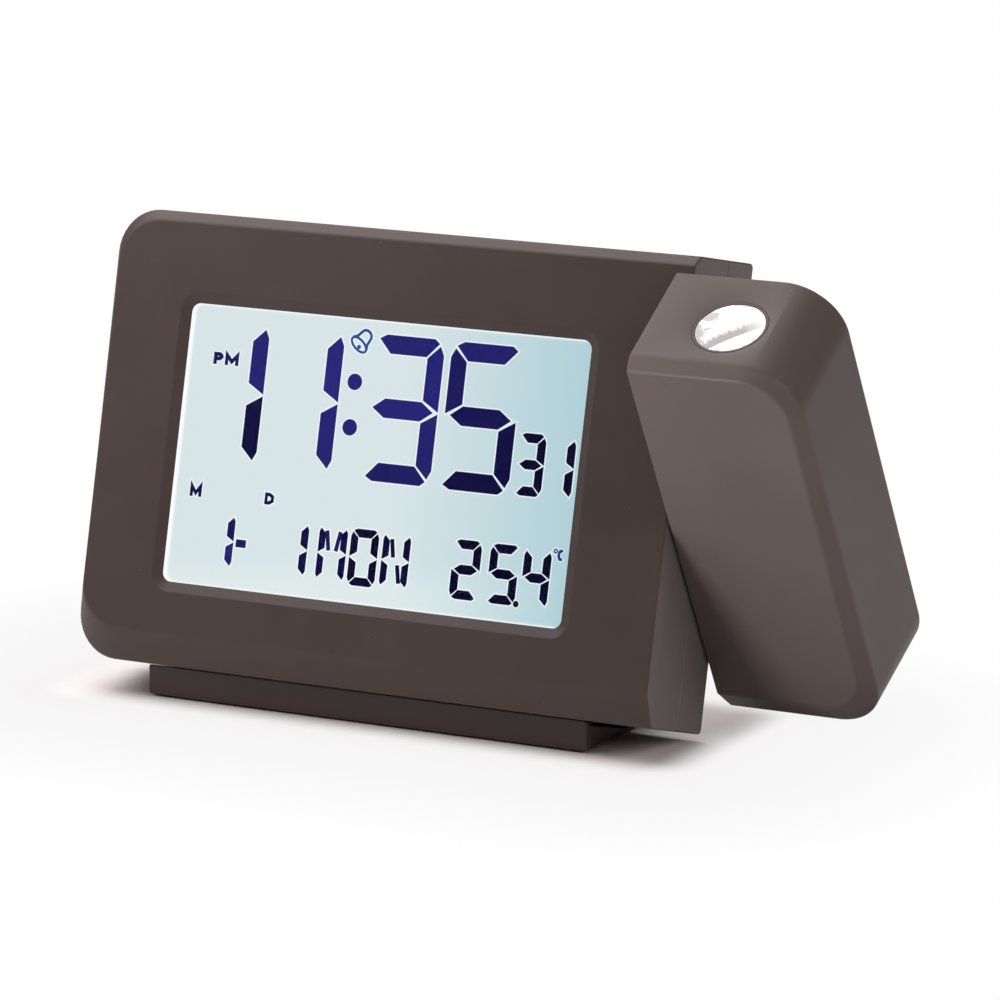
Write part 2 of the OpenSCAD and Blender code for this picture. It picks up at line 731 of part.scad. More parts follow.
module board_screws() {
    color(metal_colour) leaning() for (p = board_posts)
        translate([p[0], board_back, p[1]]) rotate([-90, 0, 0])
            screw(board_t + small_bite, screw_r, small_head_r, small_head_h);
}

// The drop of resin over the clock's chip
module clock_chip() {
    color("#1b1b1d") leaning() translate([62, board_back, board_mid_z + 7]) rotate([-90, 0, 0]) {
        cylinder(r1 = 5.2, r2 = 4.4, h = 0.8 + eps);
        translate([0, 0, 0.8]) cylinder(r1 = 4.4, r2 = 2.2, h = 0.7);
    }
}

module quartz_crystal() {
    color(metal_colour) leaning() rod_x(board_back + 1, board_mid_z + 7, 1, 72, 78.2);
}

// Push switches under the four rear buttons
module push_switches() {
    color("#3a3a3a") leaning() for (x = button_xs) {
        block([x - tact_w / 2, x + tact_w / 2], [board_back, board_back + tact_h],
            [row_z - tact_w / 2, row_z + tact_w / 2]);
        rod_y(x, row_z, 1.7, board_back + tact_h - eps, switch_top);
    }
}

module snooze_switch() {
    color("#3a3a3a") leaning() {
        block([snooze_x - tact_w / 2, snooze_x + tact_w / 2],
            [board_back, board_back + tact_w + 1.5], [board_top - 3, board_top + 1]);
        translate([snooze_x, seam_y, board_top + 1 - eps]) cylinder(r = 1.5, h = plunger_h + eps);
    }
}

module slide_switch() {
    color("#8d8d8d") leaning() block([slide_x - 4.5, slide_x1 + 4.5], [board_back, switch_top],
        [row_z - 3, row_z + 3]);
}

module lead_socket() {
    color("#efe9d8") leaning() block([arm_x + socket_x - socket_l, arm_x + socket_x],
        [board_back, axis_y + 2.6], [axis_z - 2.6, axis_z + 2.6]);
}

module buzzer() {
    color("#1d1d1f") leaning() difference() {
        rod_y(buzzer_x, buzzer_z, buzzer_r, wall_back - near - buzzer_h, wall_back - near);
        rod_y(buzzer_x, buzzer_z, 1, wall_back - near - 1, wall_back);
    }
}

// A barrel socket with a centre pin, soldered to the board and open at the rear
module power_inlet() {
    color("#19191a") leaning() {
        difference() {
            union() {
                block([inlet_x - inlet_w / 2, inlet_x + inlet_w / 2], [board_back, wall_back - near],
                    [inlet_z - inlet_w / 2, inlet_z + inlet_w / 2]);
                rod_y(inlet_x, inlet_z, inlet_r + inlet_wall, wall_back - 1, body_t - 0.4);
            }
            rod_y(inlet_x, inlet_z, inlet_r, board_back + 3, body_t + 1);
        }
        rod_y(inlet_x, inlet_z, inlet_pin_r, board_back + 3 - eps, body_t - 1.6);
    }
}

// ---- battery compartment ----

// Two cells that lie opposite ways round, each with its button against a flat contact
module cell(x0, z, way) {
    translate([x0, cell_y, z]) rotate([0, 90 * way, 0]) {
        cylinder(r = cell_d / 2, h = cell_l - 1);
        cylinder(r = 1.9, h = cell_l);
    }
}

module battery_cells() {
    color("#8a8f96") leaning() {
        cell(bay_x1 - contact_t - near - cell_l, cell_zs[0], 1);
        cell(bay_x + contact_t + near + cell_l, cell_zs[1], -1);
    }
}

// A flat contact at one end of a cell and a spring on its plate at the other end
module contacts(z, flat_x, spring_x, way) {
    side = cell_d / 2 - 1;
    block([min(flat_x, flat_x - way * contact_t), max(flat_x, flat_x - way * contact_t)],
        [bay_y, cell_y + side], [z - side, z + side]);
    translate([spring_x, cell_y, z]) rotate([0, 90 * way, 0]) {
        translate([-side, -(cell_y - bay_y), 0]) cube([2 * side, cell_y - bay_y + side, contact_t]);
        difference() {
            cylinder(r1 = 3.8, r2 = 2.4, h = spring_l + 1 - contact_t - 2 * near);
            cylinder(r1 = 3, r2 = 1.6, h = spring_l + 2);
        }
    }
}

module battery_contacts() {
    color(metal_colour) leaning() {
        contacts(cell_zs[0], bay_x1, bay_x, 1);
        contacts(cell_zs[1], bay_x, bay_x1, -1);
    }
}

// The door turns on its rounded lower edge; a notch at the top takes a fingernail
module battery_door() {
    d = grow(door_rim, -door_gap);
    color(shell_colour) leaning() difference() {
        union() {
            slice([d[0], d[1], door_hinge[1], d[3], 0, 0], door_y, body_t);
            rod_x(door_hinge[0], door_hinge[1], door_t / 2, d[0], d[1]);
        }
        rod_y((d[0] + d[1]) / 2, d[3] + 1, 5, body_t - 0.9, body_t + 1);
        for (i = [0:2]) block([(d[0] + d[1]) / 2 - 7, (d[0] + d[1]) / 2 + 7],
            [body_t - 0.5, body_t + 1], [d[3] - 8 - i * 2, d[3] - 7.2 - i * 2]);
    }
}

// ---- controls ----

module snooze_button() {
    gap = 0.2;
    inside = body_h - wall - 0.3;
    color("#5a4e4b") leaning() {
        intersection() {
            translate([0, 0, inside - 1.2]) linear_extrude(wall + draft + 2)
                outline(grow(snooze_rim, -gap));
            translate([0, 0, -gap]) form(body_face, body_rim);
        }
        translate([0, 0, inside - 1.2]) linear_extrude(1.2) outline(grow(snooze_rim, 1.2));
        translate([snooze_x, seam_y, snooze_stem_z])
            cylinder(r = 2, h = inside - 1 - snooze_stem_z);
    }
}

// A push button: a round cap, a collar that keeps it in and a stem down to its switch
module push_button(i) {
    x = button_xs[i];
    color("#5a4e4b") leaning() {
        rod_y(x, row_z, button_r, wall_back - 1, body_t + button_out - 0.4);
        translate([x, body_t + button_out - 0.4 - eps, row_z]) rotate([-90, 0, 0])
            cylinder(r1 = button_r, r2 = button_r - 0.4, h = 0.4 + eps);
        rod_y(x, row_z, button_r + collar, wall_back - 0.3 - collar, wall_back - 0.3);
        rod_y(x, row_z, 1.6, stem_y, wall_back - 1);
    }
}
module time_button() { push_button(0); }
module alarm_button() { push_button(1); }
module plus_button() { push_button(2); }
module minus_button() { push_button(3); }

module slide_knob() {
    color("#5a4e4b") leaning() {
        difference() {
            block([slide_x - slide_w / 2, slide_x + slide_w / 2], [wall_back - 1, body_t + 0.9],
                [row_z - slide_h / 2, row_z + slide_h / 2]);
            for (i = [-1:1]) block([slide_x + i * 1.3 - 0.25, slide_x + i * 1.3 + 0.25],
                [body_t + 0.5, body_t + 1], [row_z - slide_h, row_z + slide_h]);
        }
        block([slide_x - slide_w / 2 - slide_travel - 0.4, slide_x + slide_w / 2 + slide_travel + 0.4],
            [wall_back - 1.3, wall_back - 0.3], [row_z - slide_h / 2 - 1, row_z + slide_h / 2 + 1]);
        block([slide_x - 1, slide_x + 1], [switch_top + near, wall_back - 1],
            [row_z - 1, row_z + 1]);
    }
}

// ---- swivel ----

module friction_washer() {
    color("#3b2f28") leaning() translate([arm_x, 0, 0]) difference() {
        rod_x(axis_y, axis_z, flange_r, washer_x, washer_x + washer_t);
        rod_x(axis_y, axis_z, hub_r + seat, washer_x - 1, end_wall_x);
    }
}

// places its children on the three screws that clamp the hub
module at_hub_screws(x) {
    for (a = [90, 210, 330]) translate([x, axis_y + hub_screw_at * cos(a),
        axis_z + hub_screw_at * sin(a)]) rotate([0, 90, 0]) children();
}

// A hollow spool: flange inside the slab, neck in its end wall, shoulder against the arm
module pivot_hub() {
    color("#2d2726") swivelled() difference() {
        union() {
            rod_x(axis_y, axis_z, flange_r, flange_x, flange_x + flange_t);
            rod_x(axis_y, axis_z, hub_r, flange_x, wall - near);
            rod_x(axis_y, axis_z, shoulder_r, near - arm_gap, 0);
        }
        rod_x(axis_y, axis_z, hub_bore_r, flange_x - 1, wall + 1);
        at_hub_screws(wall - hub_bite - 1) cylinder(r = hub_screw_r + pilot_gap, h = hub_bite + 2);
    }
}

module hub_clamp() {
    color("#2d2726") swivelled() difference() {
        rod_x(axis_y, axis_z, flange_r, wall, wall + clamp_t);
        rod_x(axis_y, axis_z, hub_bore_r, wall - 1, wall + clamp_t + 1);
        at_hub_screws(wall - 1) cylinder(r = hub_screw_r + 0.2, h = clamp_t + 2);
    }
}

module hub_screws() {
    color(metal_colour) swivelled() at_hub_screws(wall + clamp_t)
        screw(clamp_t + hub_bite, hub_screw_r, 1.3, small_head_h);
}

// The lead: along the axis through the hub, then down to the lamp board
module arm_lead() {
    down_z = tube_z - near - lamp_board_t - near - lead_r + lead_bend;
    color("#202024") swivelled() {
        rod_x(axis_y, axis_z, lead_r, socket_x + near, lead_down_x - lead_bend);
        translate([lead_down_x - lead_bend, axis_y, axis_z - lead_bend]) elbow();
        translate([lead_down_x, axis_y, down_z])
            cylinder(r = lead_r, h = axis_z - lead_bend - down_z);
        translate([lead_down_x + lead_bend, axis_y, down_z]) rotate([0, 180, 0]) elbow();
        rod_x(axis_y, down_z - lead_bend, lead_r, lead_down_x + lead_bend, lead_end_x);
    }
}

// a quarter bend in the x-z plane, from +x to -z
module elbow() {
    rotate([90, 0, 0]) rotate_extrude(angle = 90) translate([lead_bend, 0]) circle(lead_r, $fn = 24);
}

// ---- housing of the arm ----

module arm_shell() {
    color(shell_colour) swivelled() difference() {
        union() {
            difference() {
                form(arm_face, arm_rim);
                hollow(arm_face, arm_rim, body_t + 1);
            }
            translate([lens_x, lens_y, guide_z])
                cylinder(r = tube_r, h = body_h - wall - guide_z + eps);
            for (p = cover_posts) rod_y(p[0], p[1], cover_post_r, wall - eps, cover_y);
            for (x = ear_xs) rod_y(x, ear_z, ear_post_r, wall - eps, ear_y);
        }
        translate([lens_x, lens_y, guide_z - 1]) cylinder(r = guide_r, h = body_h);
        translate([lens_x, lens_y, body_h - recess_d])
            cylinder(r1 = guide_r, r2 = recess_r + recess_slope * draft, h = recess_d + draft);
        block([lens_x - key_w / 2 - near, lens_x + key_w / 2 + near],
            [lens_y - tube_r - 1, lens_y], [guide_z - 1, key_z + key_h + 2 * focus_travel]);
        translate([lens_x, lens_y, tube_top])
            cylinder(r = ring_r + 0.4, h = guide_z - tube_top - near);
        rod_x(axis_y, axis_z, hub_r + hub_gap, -1, wall + 1);
        for (p = cover_posts) rod_y(p[0], p[1], pilot_r, cover_y - small_bite - 0.6, cover_y + 1);
        for (x = ear_xs) rod_y(x, ear_z, pilot_r, wall + 0.6, ear_y + 1);
    }
}

module arm_cover() {
    color(shell_colour) swivelled() difference() {
        slice(grow_arm(-wall - door_gap), cover_y, cover_y + cover_t);
        intersection() {
            rod_x(body_t + 3.5, ring_z, 6.5, lens_x - 7, lens_x + 7);
            slice(grow_arm(-wall), 0, body_t);
        }
        for (p = cover_posts) {
            rod_y(p[0], p[1], screw_r + 0.3, cover_y - 1, body_t + 1);
            rod_y(p[0], p[1], small_head_r + 0.2, cover_y + cover_t - small_head_h, body_t + 1);
        }
    }
}

module arm_screws() {
    color(metal_colour) swivelled() for (p = cover_posts)
        translate([p[0], cover_y + cover_t - small_head_h, p[1]]) rotate([-90, 0, 0])
            screw(cover_t - small_head_h + small_bite, screw_r, small_head_r, small_head_h);
}

// ---- optics ----

// places its children on the optical axis of the arm
module on_axis(z) {
    swivelled() translate([lens_x, lens_y, z]) children();
}

// The lamp tube: a shelf inside carries the image panel, ears screw it to the arm
module lamp_tube() {
    color("#1c1a1a") swivelled() difference() {
        union() {
            translate([lens_x, lens_y, tube_z]) cylinder(r = tube_r, h = tube_top - tube_z);
            block([ear_xs[0] - 2.4, ear_xs[1] + 2.4], [ear_y + near, ear_y + near + ear_t],
                [ear_z - 2.5, ear_z + 2.5]);
        }
        translate([lens_x, lens_y, 0]) {
            translate([0, 0, tube_z - 1]) cylinder(r = tube_bore, h = panel_z - shelf_t - tube_z + 1);
            translate([0, 0, tube_z]) cylinder(r = stop_r, h = body_h);
            translate([0, 0, panel_z]) cylinder(r = tube_bore, h = body_h);
        }
        for (x = ear_xs) rod_y(x, ear_z, screw_r + 0.3, ear_y - 1, ear_y + ear_t + 1);
    }
}

module tube_screws() {
    color(metal_colour) swivelled() for (x = ear_xs)
        translate([x, ear_y + near + ear_t, ear_z]) rotate([-90, 0, 0])
            screw(ear_t + small_bite, screw_r, small_head_r, small_head_h);
}

module lamp_board() {
    color(board_colour) on_axis(tube_z - near - lamp_board_t) cylinder(r = tube_r - 0.6, h = lamp_board_t);
}

module lamp() {
    color("#f6f1e0") on_axis(tube_z - near) {
        cylinder(r = lamp_r + 0.4, h = 1);
        cylinder(r = lamp_r, h = 4);
        translate([0, 0, 4]) sphere(r = lamp_r);
    }
}

// Plano-convex: flat towards the lamp, pressed up under the shelf
module condenser() {
    rim = 1.4;
    rise = 2;
    curve = (pow(tube_bore - seat / 2, 2) + rise * rise) / (2 * rise);
    color("#e4eef0", 0.5) on_axis(panel_z - shelf_t - near - rise - rim) intersection() {
        cylinder(r = tube_bore - seat / 2, h = rim + rise);
        translate([0, 0, rim + rise - curve]) sphere(r = curve, $fn = 96);
    }
}

module image_panel() {
    side = tube_bore * 1.36;
    color("#9fb4b8") on_axis(panel_z) translate([-side / 2, -side / 2, 0]) cube([side, side, 1.8]);
}

module ridge_ring(r, n) {
    polygon([for (i = [0:4 * n - 1])
        let (a = 360 * i / (4 * n), rr = i % 4 < 2 ? r : r - 0.5) [rr * cos(a), rr * sin(a)]]);
}

module focus_ring() {
    color("#262324") on_axis(ring_z - ring_h / 2) difference() {
        linear_extrude(ring_h) ridge_ring(ring_r, ring_ridges);
        translate([0, 0, -1]) cylinder(r = barrel_r + 0.07, h = ring_h + 2);
    }
}

// The barrel, with the key that stops it from turning and the seat of the lens
module lens_barrel() {
    color("#1d1b1c") on_axis(0) difference() {
        union() {
            translate([0, 0, barrel_z0]) cylinder(r = barrel_r, h = barrel_z1 - barrel_z0);
            block([-key_w / 2, key_w / 2], [-barrel_r - 0.8, -barrel_bore - 0.3], [key_z, key_z + key_h]);
        }
        translate([0, 0, barrel_z0 - 1]) cylinder(r = barrel_bore, h = body_h);
        translate([0, 0, lens_seat]) cylinder(r = lens_r + 0.03, h = body_h);
    }
}

module projector_lens() {
    rise = lens_curve - sqrt(lens_curve * lens_curve - lens_r * lens_r);
    color("#eef4f5", 0.5) on_axis(lens_seat + 0.5) intersection() {
        translate([0, 0, -rise]) cylinder(r = lens_r, h = lens_edge + 2 * rise);
        translate([0, 0, lens_curve - rise]) sphere(r = lens_curve, $fn = 96);
        translate([0, 0, lens_edge + rise - lens_curve]) sphere(r = lens_curve, $fn = 96);
    }
}

front_shell();
rear_shell();
foot();
foot_pad();
foot_screws();
case_screws();
window();
lcd_panel();
light_guide();
backlight_leds();
lcd_holder();
contact_strip();
main_board();
board_screws();
clock_chip();
quartz_crystal();
push_switches();
snooze_switch();
slide_switch();
lead_socket();
buzzer();
power_inlet();
battery_cells();
battery_contacts();
battery_door();
snooze_button();
time_button();
alarm_button();
plus_button();
minus_button();
slide_knob();
friction_washer();
arm_shell();
arm_cover();
arm_screws();
pivot_hub();
hub_clamp();
hub_screws();
arm_lead();
lamp_tube();
tube_screws();
lamp_board();
lamp();
condenser();
image_panel();
focus_ring();
lens_barrel();
projector_lens();
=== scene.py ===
"""A projection alarm clock: a leaning slab with a lit display and a swivelling projector arm."""

import math

import bmesh
import bpy
import numpy as np
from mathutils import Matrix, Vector

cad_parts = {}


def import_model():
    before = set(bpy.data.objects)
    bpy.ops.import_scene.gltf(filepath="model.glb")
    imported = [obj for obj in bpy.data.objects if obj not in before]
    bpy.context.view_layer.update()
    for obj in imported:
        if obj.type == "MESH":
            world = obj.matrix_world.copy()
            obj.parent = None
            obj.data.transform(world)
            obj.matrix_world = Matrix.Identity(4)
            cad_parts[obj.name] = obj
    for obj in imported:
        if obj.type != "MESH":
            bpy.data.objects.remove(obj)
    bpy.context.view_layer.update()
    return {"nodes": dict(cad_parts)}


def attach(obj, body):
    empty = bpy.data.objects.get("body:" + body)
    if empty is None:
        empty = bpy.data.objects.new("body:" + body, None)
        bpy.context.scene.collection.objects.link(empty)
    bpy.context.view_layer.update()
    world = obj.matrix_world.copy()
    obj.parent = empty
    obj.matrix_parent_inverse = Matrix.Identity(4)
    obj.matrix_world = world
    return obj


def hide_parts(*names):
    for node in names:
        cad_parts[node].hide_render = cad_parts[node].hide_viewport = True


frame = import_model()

# ---- sizes in millimetres, in the upright frame of the slab or of the arm ----

BODY_W, BODY_H, BODY_T = 121.8, 85.7, 25.0
WALL, SEAM_Y, WALL_BACK = 2.2, 14.3, 22.8
LEAN = math.radians(14)
FOOT_W, FOOT_D, FOOT_SETBACK, REAR_GAP, HEEL_H, HEEL_END = 93.0, 38.0, 2.6, 1.8, 9.0, 4.0
BEVEL_LOW_H, BEVEL_LOW_D = 6.2, 3.4
BEVEL_TOP_H, BEVEL_TOP_D = 1.9, 2.4
BEVEL_SIDE, EDGE_C, DRAFT = 1.8, 0.4, 0.7
CORNER_R, FACE_CORNER_R = 8.4, 8.2
SHARP = 0.45  # radius of an edge that looks sharp
SEAM_GROOVE, SEAM_HALF = 0.16, 0.12  # how deep the seam's groove is, and half its width
WINDOW_RIM = (16.5, 104.5, 14.0, 70.6, 3.7, 3.7)
WINDOW_BEVEL, WINDOW_D, GLAZING_LAP = 1.95, 1.0, 2.2
LCD_Y = WALL + 0.2
HUB_HOLE_R = 6.65

ARM_W, ARM_GAP, ARM_TILT = 31.6, 0.5, math.radians(44)
ARM_CORNER_R, ARM_LOW_R, ARM_BEVEL_SIDE = 10.5, 9.5, 1.9
AXIS_Y, AXIS_Z = 13.5, 42.6
LENS_X, LENS_Y, LENS_R = 15.5, 12.4, 6.4
GUIDE_R, GUIDE_Z = 7.0, 66.0
BARREL_R, BARREL_Z0, BARREL_Z1 = 6.95, 54.0, 85.4
BORE_R, TUBE_R = 5.6, 8.4  # bore of the barrel, outside of the tube that guides it
LENS_CURVE, LENS_RIM_Z, LENS_APEX = 14.0, 85.3, 85.66
RECESS_OUT, RECESS_UP = 4.0, 1.12  # the cone of the recess round the lens
RING_R, RING_Z, RING_H, RIDGES = 10.5, 63.0, 5.4, 40
SCOOP_R, SCOOP_HALF, SCOOP_Y = 6.5, 7.0, 28.5

SLAB_REAR_Y = -FOOT_D / 2 - FOOT_SETBACK + (BODY_T - BEVEL_LOW_D) * math.cos(LEAN)
ARM_X = BODY_W + ARM_GAP

# An outline in the face plane: left, right, bottom, top, left radius, right radius, and the
# lower right radius where it differs
BODY_RIM = (0, BODY_W, 0, BODY_H, CORNER_R, SHARP)
BODY_FACE = (BEVEL_SIDE, BODY_W, BEVEL_LOW_H, BODY_H - BEVEL_TOP_H, FACE_CORNER_R, SHARP)
ARM_RIM = (0, ARM_W, 0, BODY_H, SHARP, ARM_CORNER_R, ARM_LOW_R)
ARM_FACE = (0, ARM_W - ARM_BEVEL_SIDE, BEVEL_LOW_H, BODY_H - BEVEL_TOP_H, SHARP,
            ARM_CORNER_R - ARM_BEVEL_SIDE, ARM_LOW_R - 1)
DOOR_RIM = (22.0, 77.0, 11.2, 38.6, 0.2, 0.2)
BAY = (24.0, 75.0, 13.2, 36.6, 0.2, 0.2)
SNOOZE_RIM = (23.0, 73.0, 8.8, 19.8, 2.0, 2.0)
BUTTON_XS, ROW_Z, BUTTON_R = (46.0, 60.0, 74.0, 88.0), 60.0, 3.8
SLIDE_SLOT, SLIDE_X = (22.5, 31.5, 58.0, 62.0, 0.3, 0.3), 25.0
INLET, INLET_R = (94.0, 22.0), 4.25
SOUND, SOUND_RING, SOUND_R = (96.0, 43.5), 3.4, 0.8
CASE_POSTS = [(x, z) for x in (8.5, BODY_W - 8.5) for z in (8.5, BODY_H - 7.5)]
POST_R, HEAD_R, HEAD_Y = 4.0, 2.8, 17.3
COVER_POSTS = [(5.5, 8.5), (ARM_W - 5.8, 9.0), (5.5, BODY_H - 7.5), (ARM_W - 5.8, BODY_H - 8.5)]
FOOT_SCREW_XS, FOOT_SCREW_Y, THREAD_R = (25.4, 96.4), 11.2, 1.4
PAD_POCKET, PAD_POCKET_TOP = (-38.1, 38.1, -11.6, 11.6, 3.1, 3.1), 0.6

WELD = 2e-6  # points this near, in metres, become one
SHARP_ANGLE = math.radians(35)  # steeper edges than this aren't smoothed


# ---- placing ----

def slab_place(p):
    """Upright slab to clock: x is centred, and y and z turn by the lean about the rear edge."""
    x, y, z = p[..., 0], p[..., 1] - BODY_T, p[..., 2]
    c, s = math.cos(LEAN), math.sin(LEAN)
    return np.stack([x - BODY_W / 2, SLAB_REAR_Y + y * c + z * s, REAR_GAP + z * c - y * s],
                    axis=-1) / 1000


def arm_place(p):
    """Upright arm to clock: y and z turn by the tilt about the swivel axis, then as the slab."""
    y, z = p[..., 1] - AXIS_Y, p[..., 2] - AXIS_Z
    c, s = math.cos(ARM_TILT), math.sin(ARM_TILT)
    return slab_place(np.stack([p[..., 0] + ARM_X, AXIS_Y + y * c - z * s,
                                AXIS_Z + y * s + z * c], axis=-1))


def slab_direction(x, y, z):
    """A direction of the upright slab as a direction of the clock."""
    return tuple((slab_place(np.array([x, y, z], float)) - slab_place(np.zeros(3))) * 1000)


def plain_place(p):
    """Clock frame in millimetres to metres."""
    return np.asarray(p, float) / 1000


# ---- surfaces ----

def grow(o, g):
    """An outline moved outwards by g, its corner radii with it."""
    return (o[0] - g, o[1] + g, o[2] - g, o[3] + g, *(max(r + g, 0.2) for r in o[4:]))


def drafted(o):
    """An outline widened by the draft: top, bottom and the slab's rounded side; the rest stays."""
    left = DRAFT if o[4] > 1 else 0.0
    return (o[0] - left, o[1], o[2] - DRAFT, o[3] + DRAFT, o[4] + left, *o[5:])


OPENING = grow(WINDOW_RIM, -WINDOW_BEVEL)


def outline(o, steps=10):
    """Points round an outline: four quarter arcs x = cx + r cos a, z = cz + r sin a."""
    a = np.radians(np.linspace(0, 90, steps + 1))
    arcs = []
    for right, top, turn in ((1, 1, 0), (0, 1, 90), (0, 0, 180), (1, 0, 270)):
        r = o[4] if not right else o[5] if top else o[-1]
        cx = o[1] - r if right else o[0] + r
        cz = o[3] - r if top else o[2] + r
        b = a + math.radians(turn)
        arcs.append(np.stack([cx + r * np.cos(b), cz + r * np.sin(b)], axis=-1))
    return np.concatenate(arcs)


def ring(o, y_low, y_top=None, steps=10):
    """An outline as a ring in space; its depth runs evenly from y_low at its foot to y_top."""
    q = outline(o, steps)
    y_top = y_low if y_top is None else y_top
    t = (q[:, 1] - o[2]) / (o[3] - o[2])
    return np.stack([q[:, 0], y_low + (y_top - y_low) * t, q[:, 1]], axis=-1)


def between(a, b, y):
    """The ring at depth y on the straight sides from ring a to ring b."""
    return a + (b - a) * (y - a[:, 1:2]) / (b[:, 1:2] - a[:, 1:2])


def rounded(rings, radii, closed=False):
    """Each ring of the profile with a radius becomes a curve (1-t)^2 A + 2t(1-t) R + t^2 B,
    where A and B lie one radius before and after it, between two support rings."""
    out, n = [], len(rings)
    t = np.linspace(0, 1, 5)[:, None, None]
    for i, (r, rad) in enumerate(zip(rings, radii)):
        if rad <= 0 or (not closed and i in (0, n - 1)):
            out.append(r[None])
            continue
        ends = []
        for way in (rings[i - 1] - r, rings[(i + 1) % n] - r):
            length = np.linalg.norm(way, axis=-1, keepdims=True) + 1e-9
            ends.append([r + way / length * np.minimum(rad * k, length * share)
                         for k, share in ((1, 0.4), (1.25, 0.45))])
        (a, before), (b, after) = ends
        out += [before[None], (1 - t) ** 2 * a + 2 * t * (1 - t) * r + t ** 2 * b, after[None]]
    return np.concatenate(out)


def grid_faces(rows, cols, wrap_rows=False, wrap_cols=True):
    """Quads between neighbouring rows and columns of a grid, as rows of four indices."""
    i = np.arange(rows if wrap_rows else rows - 1)[:, None]
    j = np.arange(cols if wrap_cols else cols - 1)[None, :]
    i1, j1 = (i + 1) % rows, (j + 1) % cols
    return np.stack([i * cols + j, i * cols + j1, i1 * cols + j1, i1 * cols + j],
                    axis=-1).reshape(-1, 4)


def capped(p):
    """A stack of rings whose first and last ring are filled."""
    rows, cols = p.shape[:2]
    cap = [list(range(cols))]
    return [(p, grid_faces(rows, cols)), (p[0], cap), (p[-1], cap)]


def closed_stack(p):
    """A stack of rings that closes on itself."""
    return [(p, grid_faces(*p.shape[:2], wrap_rows=True))]


def prism(o, levels):
    """An outline carried through depths, grown by so much at each: levels of (depth, growth)."""
    return capped(np.stack([ring(grow(o, g), y, steps=6) for y, g in levels]))


def turned(profile, at, axis="y", n=40, radii=None, closed=False):
    """A profile of (radius, height) turned about an axis: r cos a and r sin a across it."""
    a = np.linspace(0, 2 * math.pi, n, endpoint=False)
    rings = [np.stack([r * np.cos(a), r * np.sin(a), np.full(n, float(h))], axis=-1)
             for r, h in profile]
    p = rounded(rings, radii or [0] * len(rings), closed)
    order = {"x": [2, 0, 1], "y": [0, 2, 1], "z": [0, 1, 2]}[axis]
    p = p[..., order] + np.insert(np.array(at, float), "xyz".index(axis), 0.0)
    return closed_stack(p) if closed else capped(p)


def moved_in(loop, d):
    """A closed polygon with each edge moved inwards by d: its points move along the bisector."""
    e = np.roll(loop, -1, axis=0) - loop
    area = (loop[:, 0] * np.roll(loop[:, 1], -1) - loop[:, 1] * np.roll(loop[:, 0], -1)).sum()
    e /= np.linalg.norm(e, axis=1, keepdims=True)
    n = np.stack([-e[:, 1], e[:, 0]], axis=-1) * np.sign(area)
    m = np.roll(n, 1, axis=0)
    return loop + d * (n + m) / (1 + (n * m).sum(axis=1, keepdims=True))


def bar(section, radii, x0, x1, end_r):
    """A section of two coordinates carried along x. Over end_r from each end it draws in by
    end_r (1 - sin a) while x runs on by end_r (1 - cos a)."""
    a = np.linspace(0, math.pi / 2, 6)
    inset, run = end_r * (1 - np.sin(a)), end_r * (1 - np.cos(a))
    xs = np.concatenate([x0 + run, x1 - run[::-1]])
    section = np.asarray(section, float)
    loops = np.stack([moved_in(section, d) for d in np.concatenate([inset, inset[::-1]])], axis=1)
    xs = np.broadcast_to(xs[None, :, None], loops.shape[:2] + (1,))
    p = rounded(list(np.concatenate([xs, loops], axis=-1)), radii, closed=True)
    rows, cols = p.shape[:2]
    cap = [list(range(rows))]
    return [(p, grid_faces(rows, cols, True, False)), (p[:, 0], cap), (p[:, -1], cap)]


# ---- pieces ----

def added(name, data):
    """An object in the scene made from a mesh, a light or a camera."""
    obj = bpy.data.objects.new(name, data)
    bpy.context.scene.collection.objects.link(obj)
    return obj


def made_mesh(name, parts, place):
    """A mesh from (points, faces) parts in millimetres, placed, welded and turned outwards."""
    points, faces, start = [], [], 0
    for p, f in parts:
        p = np.asarray(p, float).reshape(-1, 3)
        points.append(p)
        faces += (np.asarray(f) + start).tolist()
        start += len(p)
    mesh = bpy.data.meshes.new(name)
    mesh.from_pydata(place(np.concatenate(points)).tolist(), [], faces)
    bm = bmesh.new()
    bm.from_mesh(mesh)
    bmesh.ops.remove_doubles(bm, verts=bm.verts, dist=WELD)
    bmesh.ops.dissolve_degenerate(bm, edges=bm.edges, dist=WELD)
    bmesh.ops.recalc_face_normals(bm, faces=bm.faces)
    bm.to_mesh(mesh)
    bm.free()
    return mesh


def piece(name, body, material, parts, place=slab_place, replaces=(), cuts=()):
    """A piece that rides a body: its parts, less the closed shapes of each list in cuts."""
    mesh = made_mesh(name, parts, place)
    obj = added(name, mesh)
    for shapes in cuts:
        tool = added("tool", made_mesh("tool", shapes, place))
        cutter = obj.modifiers.new("cut", "BOOLEAN")
        cutter.operation, cutter.solver, cutter.object = "DIFFERENCE", "EXACT", tool
        depsgraph = bpy.context.evaluated_depsgraph_get()
        mesh = bpy.data.meshes.new_from_object(obj.evaluated_get(depsgraph))
        obj.modifiers.clear()
        obj.data = mesh
        bpy.data.objects.remove(tool)
    mesh.materials.clear()
    mesh.materials.append(material)
    mesh.shade_smooth()
    mesh.set_sharp_from_angle(angle=SHARP_ANGLE)
    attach(obj, body)
    if replaces:
        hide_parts(*replaces)


# ---- shader maths ----

